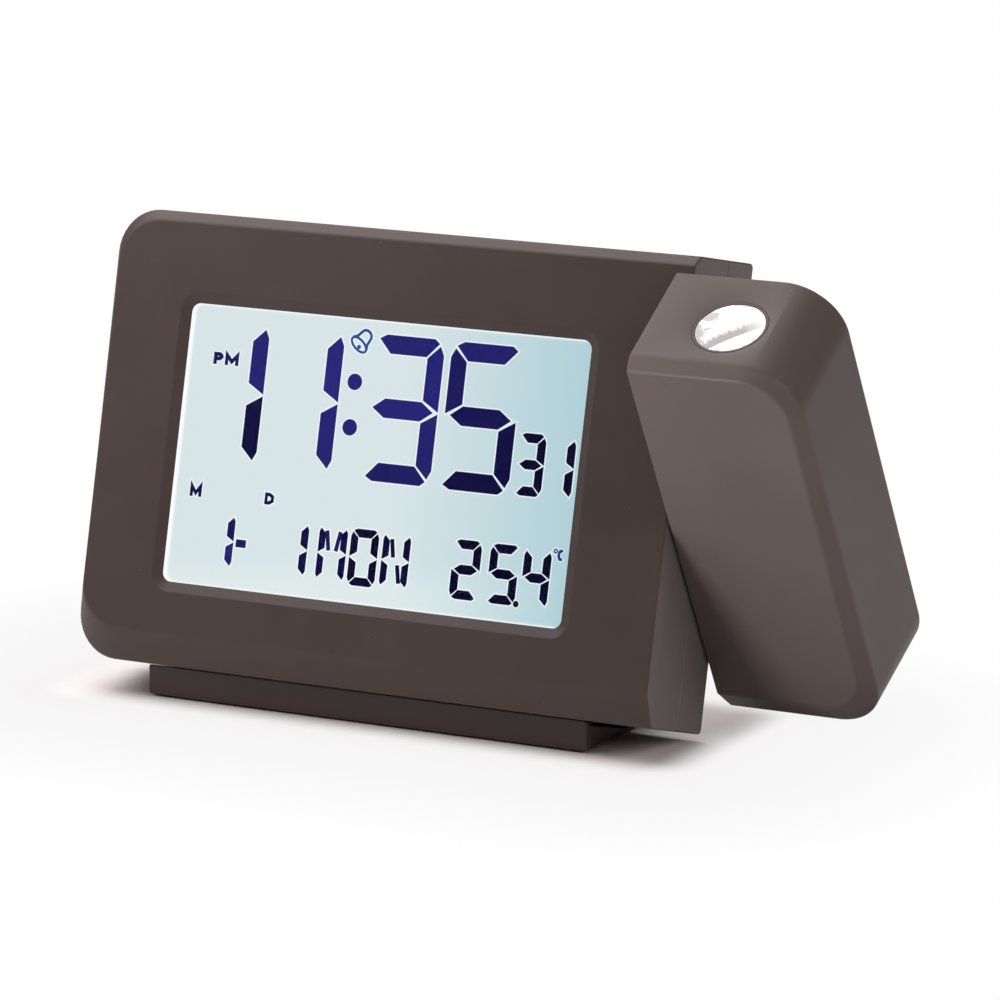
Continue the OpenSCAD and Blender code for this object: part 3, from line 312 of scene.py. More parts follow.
class Value:
    """A node socket on which sums and products are written as Python expressions."""

    def __init__(self, tree, socket):
        self.tree, self.socket = tree, socket

    def math(self, operation, *others, clamp=False):
        node = self.tree.nodes.new("ShaderNodeMath")
        node.operation, node.use_clamp = operation, clamp
        for k, v in enumerate((self,) + others):
            put(self.tree, node.inputs[k], v)
        return Value(self.tree, node.outputs[0])

    def __add__(self, o): return self.math("ADD", o)
    def __sub__(self, o): return self.math("SUBTRACT", o)
    def __mul__(self, o): return self.math("MULTIPLY", o)
    def __pow__(self, o): return self.math("POWER", o)
    def __gt__(self, o): return self.math("GREATER_THAN", o)
    def __lt__(self, o): return self.math("LESS_THAN", o)
    def clamp(self): return self.math("ADD", 0.0, clamp=True)
    def most(self, o): return self.math("MAXIMUM", o)
    def size(self): return self.math("ABSOLUTE")


def put(tree, socket, v):
    """Sets a socket to a number or colour, or links it to a Value."""
    if isinstance(v, Value):
        tree.links.new(v.socket, socket)
    elif isinstance(v, (tuple, list)):
        alpha = (1.0,) if len(v) == 3 and len(socket.default_value) == 4 else ()
        socket.default_value = tuple(v) + alpha
    else:
        socket.default_value = v


class Finish:
    """A material and its nodes. The method node makes any node but those of sums."""

    def __init__(self, name, **principled):
        self.material = bpy.data.materials.new(name)
        self.material.use_nodes = True
        self.tree = self.material.node_tree
        self.tree.nodes.clear()
        self.out = self.tree.nodes.new("ShaderNodeOutputMaterial")
        self.shader = self.tree.nodes.new("ShaderNodeBsdfPrincipled")
        self.tree.links.new(self.shader.outputs[0], self.out.inputs[0])
        self.set(**principled)

    def set(self, **values):
        for key, v in values.items():
            put(self.tree, self.shader.inputs[key.replace("_", " ")], v)

    def node(self, kind, output=0, settings=None, **inputs):
        """A node of a type, with its settings first and then the values or links of its inputs."""
        n = self.tree.nodes.new("ShaderNode" + kind)
        for key, v in (settings or {}).items():
            if key == "stops":
                ramp = n.color_ramp
                while len(ramp.elements) < len(v):
                    ramp.elements.new(0.5)
                for e, (at, c) in zip(ramp.elements, v):
                    e.position, e.color = at, tuple(c) + (1.0,)
            else:
                setattr(n, key, v)
        for key, v in inputs.items():
            k = int(key[1:]) if key[0] == "i" and key[1:].isdigit() else key.replace("_", " ")
            put(self.tree, n.inputs[k], v)
        return Value(self.tree, n.outputs[output])

    def spot(self):
        """Object coordinates, which are the clock's own coordinates in metres."""
        return self.node("TexCoord", "Object")

    def along(self, spot, direction, origin=(0, 0, 0)):
        """How far a spot lies from an origin along a direction, in millimetres."""
        off = self.node("VectorMath", 0, dict(operation="SUBTRACT"), i0=spot, i1=tuple(origin))
        return self.node("VectorMath", "Value", dict(operation="DOT_PRODUCT"), i0=off,
                         i1=tuple(1000 * float(v) for v in direction))

    def noise(self, scale, detail=2.0, roughness=0.5, at=None):
        return self.node("TexNoise", "Fac", Vector=at or self.spot(), Scale=scale,
                         Detail=detail, Roughness=roughness)

    def mix(self, factor, a, b):
        """Colour a where the factor is 0 and colour b where it is 1."""
        return self.node("Mix", 2, dict(data_type="RGBA"), i0=factor, i6=a, i7=b)

    def ramp(self, factor, *stops):
        return self.node("ValToRGB", 0, dict(stops=stops), Fac=factor)

    def remap(self, v, low, high, to_low=0.0, to_high=1.0, smooth=False):
        kind = dict(interpolation_type="SMOOTHSTEP") if smooth else None
        return self.node("MapRange", 0, kind, Value=v, From_Min=low, From_Max=high,
                         To_Min=to_low, To_Max=to_high)

    def bump(self, height, distance, strength):
        return self.node("Bump", Height=height, Distance=distance, Strength=strength)

    def attribute(self, name):
        return self.node("Attribute", "Fac", dict(attribute_name=name))


# ---- finishes ----

# The second colour is painted light on the slab's flat end, and also the colour of its scratches.
DUST, SHEEN_AND_SCRATCH = (0.30, 0.27, 0.26), (0.50, 0.46, 0.45)


def housing_finish(name, dark, light):
    """Satin moulded plastic: fine grain, faint mottling and a few dust specks. The slab's flat
    end is painted a little paler as painted light, with a painted highlight along its seam and
    hairline scratches that fade upwards."""
    f = Finish(name, IOR=1.46, Specular_IOR_Level=0.25)
    spot = f.spot()
    mottle = f.noise(55.0, 3.0, 0.55, spot)
    grain = f.noise(5200.0, 2.0, 0.6, spot)
    dust = f.node("TexVoronoi", "Distance", Vector=spot, Scale=420.0)
    where = f.noise(700.0, 0.0, 0.5, spot)
    speck = (dust < 0.045) * (where > 0.64)
    base = f.mix(f.remap(mottle, 0.3, 0.7), dark, light)
    seam_foot = slab_place(np.array([BODY_W, SEAM_Y, 0.0]))
    depth, height = (f.along(spot, slab_direction(*d), seam_foot) for d in ((0, 1, 0), (0, 0, 1)))
    across = f.along(spot, (1, 0, 0))
    # Painted light: the slab's flat end is painted a little paler than the rest of the housing.
    end = (across > BODY_W / 2 - 0.05) * (across < BODY_W / 2 + 0.25)
    glint_and_scratch_noise = f.noise(1.0, 3.0, 0.7, f.node("CombineXYZ", X=depth * 4.0, Y=height * 0.16))
    # Painted highlight: a pale line along the seam on the flat end that fades upwards; the
    # hairlines below are scratches.
    seam = (f.remap((depth + 0.05).size(), 0.1, 0.22, 1.0, 0.0)
            * f.remap(height, 2.0, 44.0, 1.0, 0.0))
    lines = f.remap(glint_and_scratch_noise, 0.68, 0.74) * f.remap(height, 3.0, 20.0, 0.35, 0.0)
    seam_glint_and_scratches = end * (f.remap(glint_and_scratch_noise, 0.35, 0.6, 0.25, 1.0) * seam).most(lines)
    base = f.mix((end * 0.15).most(seam_glint_and_scratches * 0.9), base, SHEEN_AND_SCRATCH)
    f.set(Base_Color=f.mix(speck * 0.3, base, DUST),
          Roughness=f.remap(mottle + grain * 0.35, 0.45, 0.9, 0.42, 0.52),
          Normal=f.bump(grain, 0.00004, 0.25))
    return f.material


def key_finish():
    """The keys: the housing's plastic, a shade lighter, worn a little smoother."""
    f = Finish("key_plastic", IOR=1.46)
    grain = f.noise(4200.0, 2.0, 0.6)
    mottle = f.noise(60.0)
    f.set(Base_Color=f.mix(mottle, (0.085, 0.068, 0.064), (0.1, 0.08, 0.076)),
          Roughness=f.remap(grain, 0.3, 0.7, 0.4, 0.5), Normal=f.bump(grain, 0.00003, 0.25))
    return f.material


def plain_plastic(name, dark, light, roughness):
    """Moulded plastic of two near shades."""
    f = Finish(name)
    mottle = f.noise(90.0, 3.0)
    grain = f.noise(3800.0, 2.0)
    f.set(Base_Color=f.mix(mottle, dark, light),
          Roughness=f.remap(grain, 0.3, 0.7, roughness - 0.05, roughness + 0.06),
          Normal=f.bump(grain, 0.00003, 0.2))
    return f.material


def metal_finish(name, dark, light, roughness):
    """Plated metal with faint streaks."""
    f = Finish(name, Metallic=1.0)
    streak = f.noise(1800.0, 3.0, 0.7)
    f.set(Base_Color=f.mix(streak, dark, light),
          Roughness=f.remap(streak, 0.3, 0.7, roughness - 0.06, roughness + 0.1))
    return f.material


def clear_finish(name, tint, roughness=0.02, ior=1.49):
    """Clear moulded plastic or glass, with the faintest waviness in its polish."""
    f = Finish(name, Transmission_Weight=1.0, IOR=ior)
    wave = f.noise(140.0)
    f.set(Base_Color=f.mix(wave, tint, tuple(min(1.0, c * 1.01) for c in tint)),
          Roughness=f.remap(wave, 0.3, 0.7, roughness, roughness + 0.02))
    return f.material


def display_tone(f):
    """The colour of the lit display: pale blue-green, bluer to the right, paler low down."""
    spot = f.spot()
    x = f.along(spot, (1, 0, 0))
    z = f.along(spot, (0, 0, 1))
    cloud = f.noise(38.0, 2.0, 0.5, spot)
    side = f.ramp(f.remap(x + cloud * 8.0, -38.0, 45.0),
                  (0.0, (0.69, 0.78, 0.79)), (0.55, (0.69, 0.78, 0.80)),
                  (0.85, (0.51, 0.68, 0.72)), (1.0, (0.44, 0.63, 0.68)))
    low = f.remap(z - x * 0.06, 24.0, 32.0, 1.0, 0.0, smooth=True)
    return f.mix(low * f.remap(x, 5.0, 42.0, 0.5, 0.0), side, (0.80, 0.88, 0.85))


def display_finish():
    """The lit display, brighter along its edge and close round each segment."""
    f = Finish("display_glass_lit", Roughness=0.4, Specular_IOR_Level=0.1,
               Base_Color=(0.01, 0.012, 0.014))
    f.set(Emission_Color=f.mix(f.attribute("edge_glow"), display_tone(f), (0.98, 1.0, 1.0)),
          Emission_Strength=1.0)
    return f.material


def segment_finish():
    """Segments of the display: each is tinted by its own value, from near black over navy and
    blue-violet to the blue of the bell."""
    f = Finish("display_segment", Roughness=0.5, Specular_IOR_Level=0.1,
               Base_Color=(0.002, 0.002, 0.004))
    cloud = f.noise(60.0, 2.0)
    tint = f.attribute("segment_tint") + (cloud - 0.5) * 0.12
    colour = f.ramp(tint.clamp(), (0.0, (0.0, 0.0, 0.010)), (0.4, (0.002, 0.001, 0.050)),
                    (0.9, (0.016, 0.015, 0.185)), (1.0, (0.015, 0.075, 0.30)))
    f.set(Emission_Color=colour, Emission_Strength=1.0)
    return f.material


def lens_finish():
    """The lit lens: white, with a grey band and grey streaks that are painted reflections,
    greyer patches near its rim and a dark edge. From its centre, u runs to the right and v to
    the arm's rear."""
    f = Finish("projector_lens_lit", Roughness=0.08, IOR=1.5, Coat_Weight=0.4, Coat_Roughness=0.05)
    centre = arm_place(np.array([LENS_X, LENS_Y, LENS_RIM_Z + 0.3]))
    back = (arm_place(np.array([0.0, 1.0, 0.0])) - arm_place(np.zeros(3))) * 1000
    spot = f.spot()
    u, v = f.along(spot, (1, 0, 0), centre), f.along(spot, back, centre)
    fine = f.noise(900.0, 3.0, 0.6, spot)
    coarse = f.noise(330.0, 2.0, 0.5, spot)
    across = u * -0.67 + v * 0.74
    along = u * 0.74 + v * 0.67
    streak = f.noise(1.0, 2.0, 0.5, f.node("CombineXYZ", X=along * 2.2, Y=across * 0.25))
    # Painted reflections: the grey band across the lens and the grey streaks on its left; the lens
    # also greys in patches near its rim.
    low = f.remap(across + (fine - 0.5) * 0.3, -3.45, -3.15, smooth=True)
    high = f.remap(across + (streak - 0.5) * 2.6, -1.9, 0.1, 1.0, 0.0, smooth=True)
    band = low * high * f.remap(along, 1.5, 6.0, 1.0, 0.45)
    left = (f.remap(u + (streak - 0.5) * 4.0, -3.8, -2.4, 1.0, 0.0, smooth=True)
            * f.remap(coarse, 0.4, 0.52, smooth=True))
    radius = (u * u + v * v) ** 0.5
    rim = (f.remap(radius + (coarse - 0.5) * 0.8, 5.6, 6.2, smooth=True)
           * f.remap(coarse, 0.45, 0.6, smooth=True))
    edge = f.remap(radius, 6.3, 6.37)
    grey = band.most(left * 0.9).most(rim * 0.8)
    colour = f.mix(edge, f.mix(grey, (1.0, 1.0, 1.0), (0.3, 0.25, 0.25)), (0.01, 0.008, 0.008))
    f.set(Base_Color=f.mix(grey.most(edge), (0.3, 0.3, 0.3), (0.05, 0.045, 0.045)),
          Emission_Color=colour, Emission_Strength=1.0)
    return f.material


HOUSING = housing_finish("satin_housing_plastic", (0.066, 0.0455, 0.0418),
                         (0.074, 0.0508, 0.0468))
# The arm's plastic is the housing's own plastic, painted lighter as painted light for the arm's
# brighter-lit face.
ARM_HOUSING_PAINTED_LIGHTER = housing_finish("arm_plastic_painted_lighter", (0.08, 0.0585, 0.0545), (0.089, 0.0652, 0.0608))
KEYS = key_finish()
BLACK = plain_plastic("black_plastic", (0.012, 0.012, 0.013), (0.02, 0.02, 0.021), 0.5)
OPTIC = plain_plastic("optic_black", (0.008, 0.008, 0.009), (0.014, 0.013, 0.014), 0.6)
RUBBER = plain_plastic("foot_rubber", (0.012, 0.012, 0.012), (0.022, 0.021, 0.021), 0.8)
WHITE = plain_plastic("holder_plastic", (0.7, 0.7, 0.68), (0.78, 0.78, 0.76), 0.5)
BOARD = plain_plastic("board_lacquer", (0.02, 0.10, 0.045), (0.03, 0.14, 0.06), 0.35)
STRIP = plain_plastic("contact_rubber", (0.5, 0.22, 0.22), (0.6, 0.3, 0.28), 0.6)
STEEL = metal_finish("screw_steel", (0.42, 0.42, 0.41), (0.58, 0.58, 0.56), 0.32)
NICKEL = metal_finish("contact_nickel", (0.6, 0.6, 0.58), (0.72, 0.71, 0.69), 0.2)
CELL = plain_plastic("cell_sleeve", (0.07, 0.08, 0.1), (0.1, 0.11, 0.13), 0.35)
RESIN = plain_plastic("lamp_resin", (0.8, 0.78, 0.62), (0.88, 0.86, 0.7), 0.15)
WINDOW = clear_finish("window_plastic", (0.98, 0.99, 0.99), ior=1.12)
GUIDE = clear_finish("guide_plastic", (0.95, 0.98, 0.98), 0.3)
CONDENSER = clear_finish("condenser_plastic", (0.98, 0.99, 0.99))
IMAGE = clear_finish("image_panel_glass", (0.6, 0.72, 0.76), 0.1)
DISPLAY = display_finish()
SEGMENT = segment_finish()
LENS = lens_finish()

# What the CAD nodes are finished with
NODE_FINISHES = (
    (HOUSING, "front_shell rear_shell foot battery_door"),
    (ARM_HOUSING_PAINTED_LIGHTER, "arm_shell arm_cover lens_barrel"),
    (KEYS, "snooze_button time_button alarm_button plus_button minus_button slide_knob"),
    (STEEL, "foot_screws case_screws board_screws hub_screws arm_screws tube_screws"),
    (NICKEL, "quartz_crystal battery_contacts"),
    (BLACK, "clock_chip push_switches snooze_switch slide_switch buzzer power_inlet "
            "lead_socket arm_lead pivot_hub hub_clamp friction_washer"),
    (OPTIC, "lamp_tube focus_ring"), (BOARD, "main_board lamp_board"),
    (WHITE, "lcd_panel lcd_holder"), (RESIN, "backlight_leds lamp"), (WINDOW, "window"),
    (GUIDE, "light_guide"), (STRIP, "contact_strip"), (CELL, "battery_cells"),
    (RUBBER, "foot_pad"), (LENS, "projector_lens"), (CONDENSER, "condenser"),
    (IMAGE, "image_panel"),
)


def finish_nodes():
    for material, names in NODE_FINISHES:
        for name in names.split():
            mesh = frame["nodes"][name].data
            mesh.materials.clear()
            mesh.materials.append(material)


# ---- housing of the slab ----

def form_rings(face, rim, steps=10):
    """The rings of the outer form: face, rim behind the bevels, widened rim, rear edge."""
    wide = drafted(rim)
    left, right = (EDGE_C if r > 1 else 0.0 for r in rim[4:6])
    rear = (wide[0] + left, wide[1] - right, wide[2] + EDGE_C, wide[3] - EDGE_C,
            *(max(r - EDGE_C, SHARP) for r in wide[4:]))
    return (ring(face, 0, steps=steps), ring(rim, BEVEL_LOW_D, BEVEL_TOP_D, steps),
            ring(wide, BODY_T - EDGE_C, steps=steps), ring(rear, BODY_T, steps=steps))


def drawn_in(r, g):
    """A ring of the slab moved inwards by g towards its middle, across its depth."""
    out = r.copy()
    for k, size in ((0, BODY_W), (2, BODY_H)):
        out[:, k] += np.where(r[:, k] < size / 2, g, -g)
    return out


def top_height(y):
    """Height of the slab's top over its depth: it widens towards the rear."""
    return BODY_H + DRAFT * (y - BEVEL_TOP_D) / (BODY_T - EDGE_C - BEVEL_TOP_D)


def plan(o, z, over_top=False, steps=6):
    """An outline in plan at the height z, which counts from the slab's top if over_top is set."""
    q = outline(o, steps)
    return np.column_stack([q, top_height(q[:, 1]) + z if over_top else np.full(len(q), z)])


def snooze_cut():
    """The snooze button's opening, with a small flare where it meets the top."""
    return capped(np.stack([plan(grow(SNOOZE_RIM, g), z, True) for z, g in (
        (-4.2, 0), (-0.15, 0), (0.05, 0.2), (1.5, 0.2))]))


def hub_cut():
    """The bore for the arm's hub through the slab's flat end."""
    return turned([(HUB_HOLE_R, BODY_W - WALL - 1), (HUB_HOLE_R, BODY_W + 1)],
                  (AXIS_Y, AXIS_Z), "x")


def front_shell():
    """The front shell: a profile from the window over face, bevel and side to the seam and
    back along the inside, carried round the outline and closed on itself."""
    seat = grow(OPENING, GLAZING_LAP + 0.1)
    inner = grow(BODY_RIM, -WALL)
    inner_face = (WALL, BODY_W - WALL, BEVEL_LOW_H + 0.3, BODY_H - WALL - 0.1, CORNER_R - WALL, 0.3)
    face, rim, wide, _ = form_rings(BODY_FACE, BODY_RIM)
    rings = [ring(seat, WALL), ring(seat, WINDOW_D + 0.01), ring(OPENING, WINDOW_D + 0.005),
             ring(WINDOW_RIM, 0), face, rim, between(rim, wide, SEAM_Y - SEAM_HALF),
             drawn_in(between(rim, wide, SEAM_Y), SEAM_GROOVE), ring(inner, SEAM_Y),
             ring(inner, BEVEL_LOW_D + 1.4, BEVEL_TOP_D + 1.4), ring(inner_face, WALL)]
    radii = [0, 0, 0.06, 0.2, 0.5, 0.5, 0.08, 0, 0, 0, 0]
    piece("front_shell_skin", "slab", HOUSING,
          closed_stack(rounded(rings, radii, closed=True)), replaces=["front_shell"],
          cuts=[snooze_cut() + hub_cut()])


def rear_shell():
    """The rear shell: from the inside round the seam's edge and over the sides to the rear
    face. Cups behind it hold the screws and the cells, and openings are cut with a small flare."""
    inner = grow(BODY_RIM, -WALL)
    _, rim, wide, rear = form_rings(BODY_FACE, BODY_RIM)
    rings = [ring(inner, WALL_BACK), ring(inner, SEAM_Y),
             drawn_in(between(rim, wide, SEAM_Y), SEAM_GROOVE),
             between(rim, wide, SEAM_Y + SEAM_HALF), wide, rear, drawn_in(rear, 1.0)]
    parts = capped(rounded(rings, [0, 0, 0, 0.08, 0.25, 0.2, 0]))
    cups = prism(BAY, [(9.0, 1.2), (WALL_BACK + 0.1, 1.2), (WALL_BACK + 0.1, 0), (10.2, 0)])
    for at in CASE_POSTS:
        cups += turned([(POST_R, SEAM_Y + 0.1), (POST_R, WALL_BACK + 0.1),
                        (HEAD_R, WALL_BACK + 0.1), (HEAD_R, HEAD_Y)], at)
    flare = [(WALL_BACK - 1, 0.0), (BODY_T - 0.15, 0.0), (BODY_T + 0.05, 0.2), (BODY_T + 1, 0.2)]
    holes = [(at, HEAD_R) for at in CASE_POSTS]
    holes += [((x, ROW_Z), BUTTON_R + 0.15) for x in BUTTON_XS]
    holes += [(INLET, INLET_R), (SOUND, SOUND_R)]
    holes += [(at, SOUND_R) for at in disc(*SOUND, SOUND_RING, 6)]
    openings = snooze_cut() + hub_cut()
    for at, r in holes:
        openings += turned([(r + g, y) for y, g in flare], at, n=24 if r < 1 else 40)
    openings += prism(SLIDE_SLOT, flare)
    openings += prism(DOOR_RIM, [(23.1, 0)] + flare[1:])
    piece("rear_shell_skin", "slab", HOUSING, parts, replaces=["rear_shell"],
          cuts=[openings, prism(BAY, [(WALL_BACK - 1, 0), (24.0, 0)])])
    piece("rear_shell_cups", "slab", HOUSING, cups)


def battery_door():
    """The battery door: its section, round along the hinge edge, carried from side to side.
    A notch for a finger and three grooves are cut into it, each with a flared edge."""
    x0, x1, z0, z1 = grow(DOOR_RIM, -0.15)[:4]
    middle = (x0 + x1) / 2
    section = [(23.2, z0), (BODY_T, z0), (BODY_T, z1), (23.2, z1)]
    notch = turned([(5.0, 24.1), (5.0, BODY_T - 0.1), (5.2, BODY_T + 0.1), (5.2, BODY_T + 1)],
                   (middle, z1 + 1), n=64)
    grooves = []
    for i in range(3):
        o = (middle - 7, middle + 7, z1 - 8 - i * 2, z1 - 7.2 - i * 2, 0.38, 0.38)
        grooves += prism(o, [(24.5, 0), (BODY_T - 0.1, 0), (BODY_T + 0.1, 0.2), (BODY_T + 1, 0.2)])
    piece("battery_door_panel", "door", HOUSING,
          bar(section, [0.9, 0.9, 0.3, 0.2], x0, x1, 0.25),
          replaces=["battery_door"], cuts=[notch + grooves])


def foot():
    """The foot: its section under the slab and the heel behind it, carried from end to end.
    The pad's pocket and two stepped screw holes, which lean with the slab, are cut into it."""
    def slab_point(y, z):
        return slab_place(np.array([0.0, y, z]))[1:] * 1000

    front, under = slab_point(BEVEL_LOW_D, 0.0), slab_point(BODY_T, -DRAFT)
    slope = (front[1] - under[1]) / (under[0] - front[0])
    heel = SLAB_REAR_Y + 0.1 + HEEL_H * math.tan(LEAN)
    half = FOOT_D / 2
    section = [(-half, 0.4), (-half, under[1] - 0.1 + (under[0] + half) * slope),
               (under[0], under[1] - 0.1), (heel, REAR_GAP + HEEL_H),
               (heel + 2, REAR_GAP + HEEL_H), (half, HEEL_END), (half, 0.4)]
    holes = []
    for x in FOOT_SCREW_XS:
        hole = turned([(HEAD_R, -12.0), (HEAD_R, -2.6), (THREAD_R, -2.6), (THREAD_R, 1.5)],
                      (x, FOOT_SCREW_Y), "z", 32)
        holes += [(slab_place(p) * 1000, f) for p, f in hole]
    piece("foot_block", "slab", HOUSING,
          bar(section, [0.25, 0.35, 0, 0.5, 0.6, 0.5, 0.3], -FOOT_W / 2, FOOT_W / 2, 0.6),
          plain_place, replaces=["foot"],
          cuts=[pad_pocket(), holes])


def pad_pocket():
    """The pad's outline in plan, carried from below the table up to the pocket's top."""
    return capped(np.stack([plan(PAD_POCKET, z, steps=8) for z in (-1.0, PAD_POCKET_TOP)]))


# ---- keys ----

def snooze_button():
    """The snooze button: its outline carried up to a top that follows the slab's, 0.2 lower."""
    rings = [plan(grow(SNOOZE_RIM, g - 0.2), z, z < 0)
             for z, g in ((82.0, 1.4), (83.2, 1.4), (83.2, 0.0), (-0.2, 0.0), (-0.2, -1.0))]
    stem = turned([(2.0, 75.4), (2.0, 82.4)], (48.0, SEAM_Y), "z", 24)
    piece("snooze_key", "snooze", KEYS,
          capped(rounded(rings, [0, 0, 0, 0.45, 0])) + stem, replaces=["snooze_button"])


def push_buttons():
    """The four push buttons: stem, collar and a slightly dished cap, turned about one axis."""
    for name, x in zip(("time", "alarm", "plus", "minus"), BUTTON_XS):
        profile = [(1.6, 16.0), (1.6, 21.4), (4.9, 21.4), (4.9, 22.5), (3.8, 22.5), (3.8, 25.8),
                   (2.6, 25.74), (1.2, 25.6), (0.05, 25.58)]
        piece(name + "_key_cap", name + "_key", KEYS,
              turned(profile, (x, ROW_Z), radii=[0, 0, 0.1, 0.1, 0, 0.4, 0, 0, 0]),
              replaces=[name + "_button"])


def slide_knob():
    """The slide switch's knob: a comb-shaped section carried upwards, the plate that keeps it in
    and its stem."""
    y0, y1, low = 21.8, 25.9, 25.5
    half, pitch, gap = 2.3, 1.3, 0.25
    top = [(-half, y1)]
    for i in (-1, 0, 1):
        left, right = pitch * i - gap, pitch * i + gap
        top += [(left, y1), (left, low), (right, low), (right, y1)]
    section = np.array([(-half, y0)] + top + [(half, y1), (half, y0)]) + [SLIDE_X, 0]
    radii = [0, 0.2] + [0.08, 0.05, 0.05, 0.08] * 3 + [0.2, 0]
    parts = [(p[..., [1, 2, 0]], f) for p, f in bar(section, radii, 58.2, 61.8, 0.2)]
    parts += prism((SLIDE_X - 6.7, SLIDE_X + 6.7, 57.2, 62.8, 0.3, 0.3), [(21.5, 0), (22.5, 0)])
    parts += prism((SLIDE_X - 1, SLIDE_X + 1, 59.0, 61.0, 0.2, 0.2), [(15.4, 0), (21.8, 0)])
    piece("slide_knob_comb", "slider", KEYS, parts, replaces=["slide_knob"])


# ---- arm ----

def arm_shell():
    """The arm's housing: face, bevel, widening sides and rear edge as a profile carried round
    the outline and back inside. The lens's recess and bore are cut into its top."""
    steps = 24
    inner = grow(ARM_RIM, -WALL)
    inner_face = (WALL, ARM_W - ARM_BEVEL_SIDE - 0.6, BEVEL_LOW_H + 0.3, BODY_H - WALL - 0.1, 0.3,
                  ARM_CORNER_R - WALL)
    face, rim, wide, rear = form_rings(ARM_FACE, ARM_RIM, steps)
    rings = [ring(grow(ARM_FACE, -0.9), 0, steps=steps), face, rim, wide, rear,
             ring(inner, BODY_T, steps=steps),
             ring(inner, BEVEL_LOW_D + 1.4, BEVEL_TOP_D + 1.4, steps),
             ring(inner_face, WALL, steps=steps)]
    parts = capped(rounded(rings, [0, 0.5, 0.55, 0.25, 0.2, 0.1, 0, 0]))
    low = BARREL_Z1 - 0.02
    recess = turned([(GUIDE_R, BODY_H - WALL - 1), (GUIDE_R, low),
                     (GUIDE_R + RECESS_OUT, low + RECESS_UP)], (LENS_X, LENS_Y), "z", 96)
    under = BODY_H - WALL + 0.2
    guide = turned([(TUBE_R, GUIDE_Z), (TUBE_R, under), (GUIDE_R, under), (GUIDE_R, GUIDE_Z)],
                   (LENS_X, LENS_Y), "z", 64, closed=True)
    piece("arm_shell_skin", "arm", ARM_HOUSING_PAINTED_LIGHTER, parts, arm_place, replaces=["arm_shell"],
          cuts=[recess])
    piece("arm_barrel_guide", "arm", ARM_HOUSING_PAINTED_LIGHTER, guide, arm_place)


def arm_cover():
    """The arm's rear cover: a plate with a rounded edge, a scoop for a finger on the focus
    ring, and countersunk holes."""
    o = grow(ARM_RIM, -WALL - 0.15)
    levels = [ring(grow(o, g), y, steps=16)
              for y, g in ((23.1, -0.8), (23.1, 0), (24.9, 0), (24.9, -0.8))]
    scoop = turned([(SCOOP_R, LENS_X - SCOOP_HALF), (SCOOP_R, LENS_X + SCOOP_HALF)],
                   (SCOOP_Y, RING_Z), "x", 64)
    holes = []
    for at in COVER_POSTS:
        holes += turned([(1.3, 22.0), (1.3, 23.9), (2.2, 23.9), (2.2, 24.8), (2.35, 24.95),
                         (2.35, 26.0)], at, n=32)
    piece("arm_cover_plate", "arm", ARM_HOUSING_PAINTED_LIGHTER,
          capped(rounded(levels, [0, 0.15, 0.3, 0])), arm_place, replaces=["arm_cover"],
          cuts=[scoop + holes])


def focus_ring():
    """The focus ring: r(a, h) = R(h) - depth * (0.5 - 0.5 tanh(4 cos(n a))) on its outside,
    with n ridges, rounded upper and lower edges and a plain bore."""
    n = RIDGES * 12
    a = np.linspace(0, 2 * math.pi, n, endpoint=False)
    groove = 0.5 - 0.5 * np.tanh(4 * np.cos(RIDGES * a))
    z0, z1 = RING_Z - RING_H / 2, RING_Z + RING_H / 2
    half = ((BARREL_R + 0.07, 0, 0), (RING_R - 0.9, 0, 0), (RING_R - 0.1, 0.25, 0.7),
            (RING_R, 0.6, 1))
    rows = []
    for r, z, deep in ([(r, z0 + up, deep) for r, up, deep in half]
                       + [(r, z1 - up, deep) for r, up, deep in half[::-1]]):
        rr = r - 0.5 * deep * groove
        rows.append(np.stack([LENS_X + rr * np.cos(a), LENS_Y + rr * np.sin(a), np.full(n, z)],
                             axis=-1))
    piece("focus_ring_ridged", "ring", OPTIC, closed_stack(np.stack(rows)),
          arm_place, replaces=["focus_ring"])


def lens_barrel():
    """The lens barrel: a tube turned about the optical axis, with the seat of the lens and a
    rounded mouth, and the key that keeps it from turning."""
    seat_r, seat_z = LENS_R + 0.03, 82.0
    profile = [(BORE_R, BARREL_Z0), (BARREL_R, BARREL_Z0), (BARREL_R, BARREL_Z1),
               (seat_r, BARREL_Z1), (seat_r, seat_z), (BORE_R, seat_z)]
    tube = turned(profile, (LENS_X, LENS_Y), "z", 96, [0, 0.1, 0.1, 0.08, 0, 0], closed=True)
    out, root = LENS_Y - BARREL_R - 0.8, LENS_Y - 5.9
    key = bar([(out, GUIDE_Z + 3), (root, GUIDE_Z + 3), (root, GUIDE_Z + 10), (out, GUIDE_Z + 10)],
              [0.1] * 4, LENS_X - 0.7, LENS_X + 0.7, 0.1)
    piece("lens_barrel_tube", "barrel", ARM_HOUSING_PAINTED_LIGHTER, tube + key, arm_place,
          replaces=["lens_barrel"])


def projector_lens():
    """The lens, turned: below, z = z0 - (sqrt(R^2 - r^2) - sqrt(R^2 - e^2)); above, the flatter
    z = z1 - (z1 - zr) (r / e)^2, which fills the barrel's mouth."""
    edge = LENS_R - 0.02
    r = np.linspace(0.02, edge, 16)
    sag = np.sqrt(LENS_CURVE ** 2 - r ** 2) - math.sqrt(LENS_CURVE ** 2 - edge ** 2)
    profile = [(q, LENS_RIM_Z - 2.5 - s) for q, s in zip(r, sag)]
    profile += [(q, LENS_APEX - (LENS_APEX - LENS_RIM_Z) * (q / edge) ** 2) for q in r[::-1]]
    piece("projector_lens_lit", "barrel", LENS,
          turned(profile, (LENS_X, LENS_Y), "z", 72), arm_place, replaces=["projector_lens"])


# ---- display ----

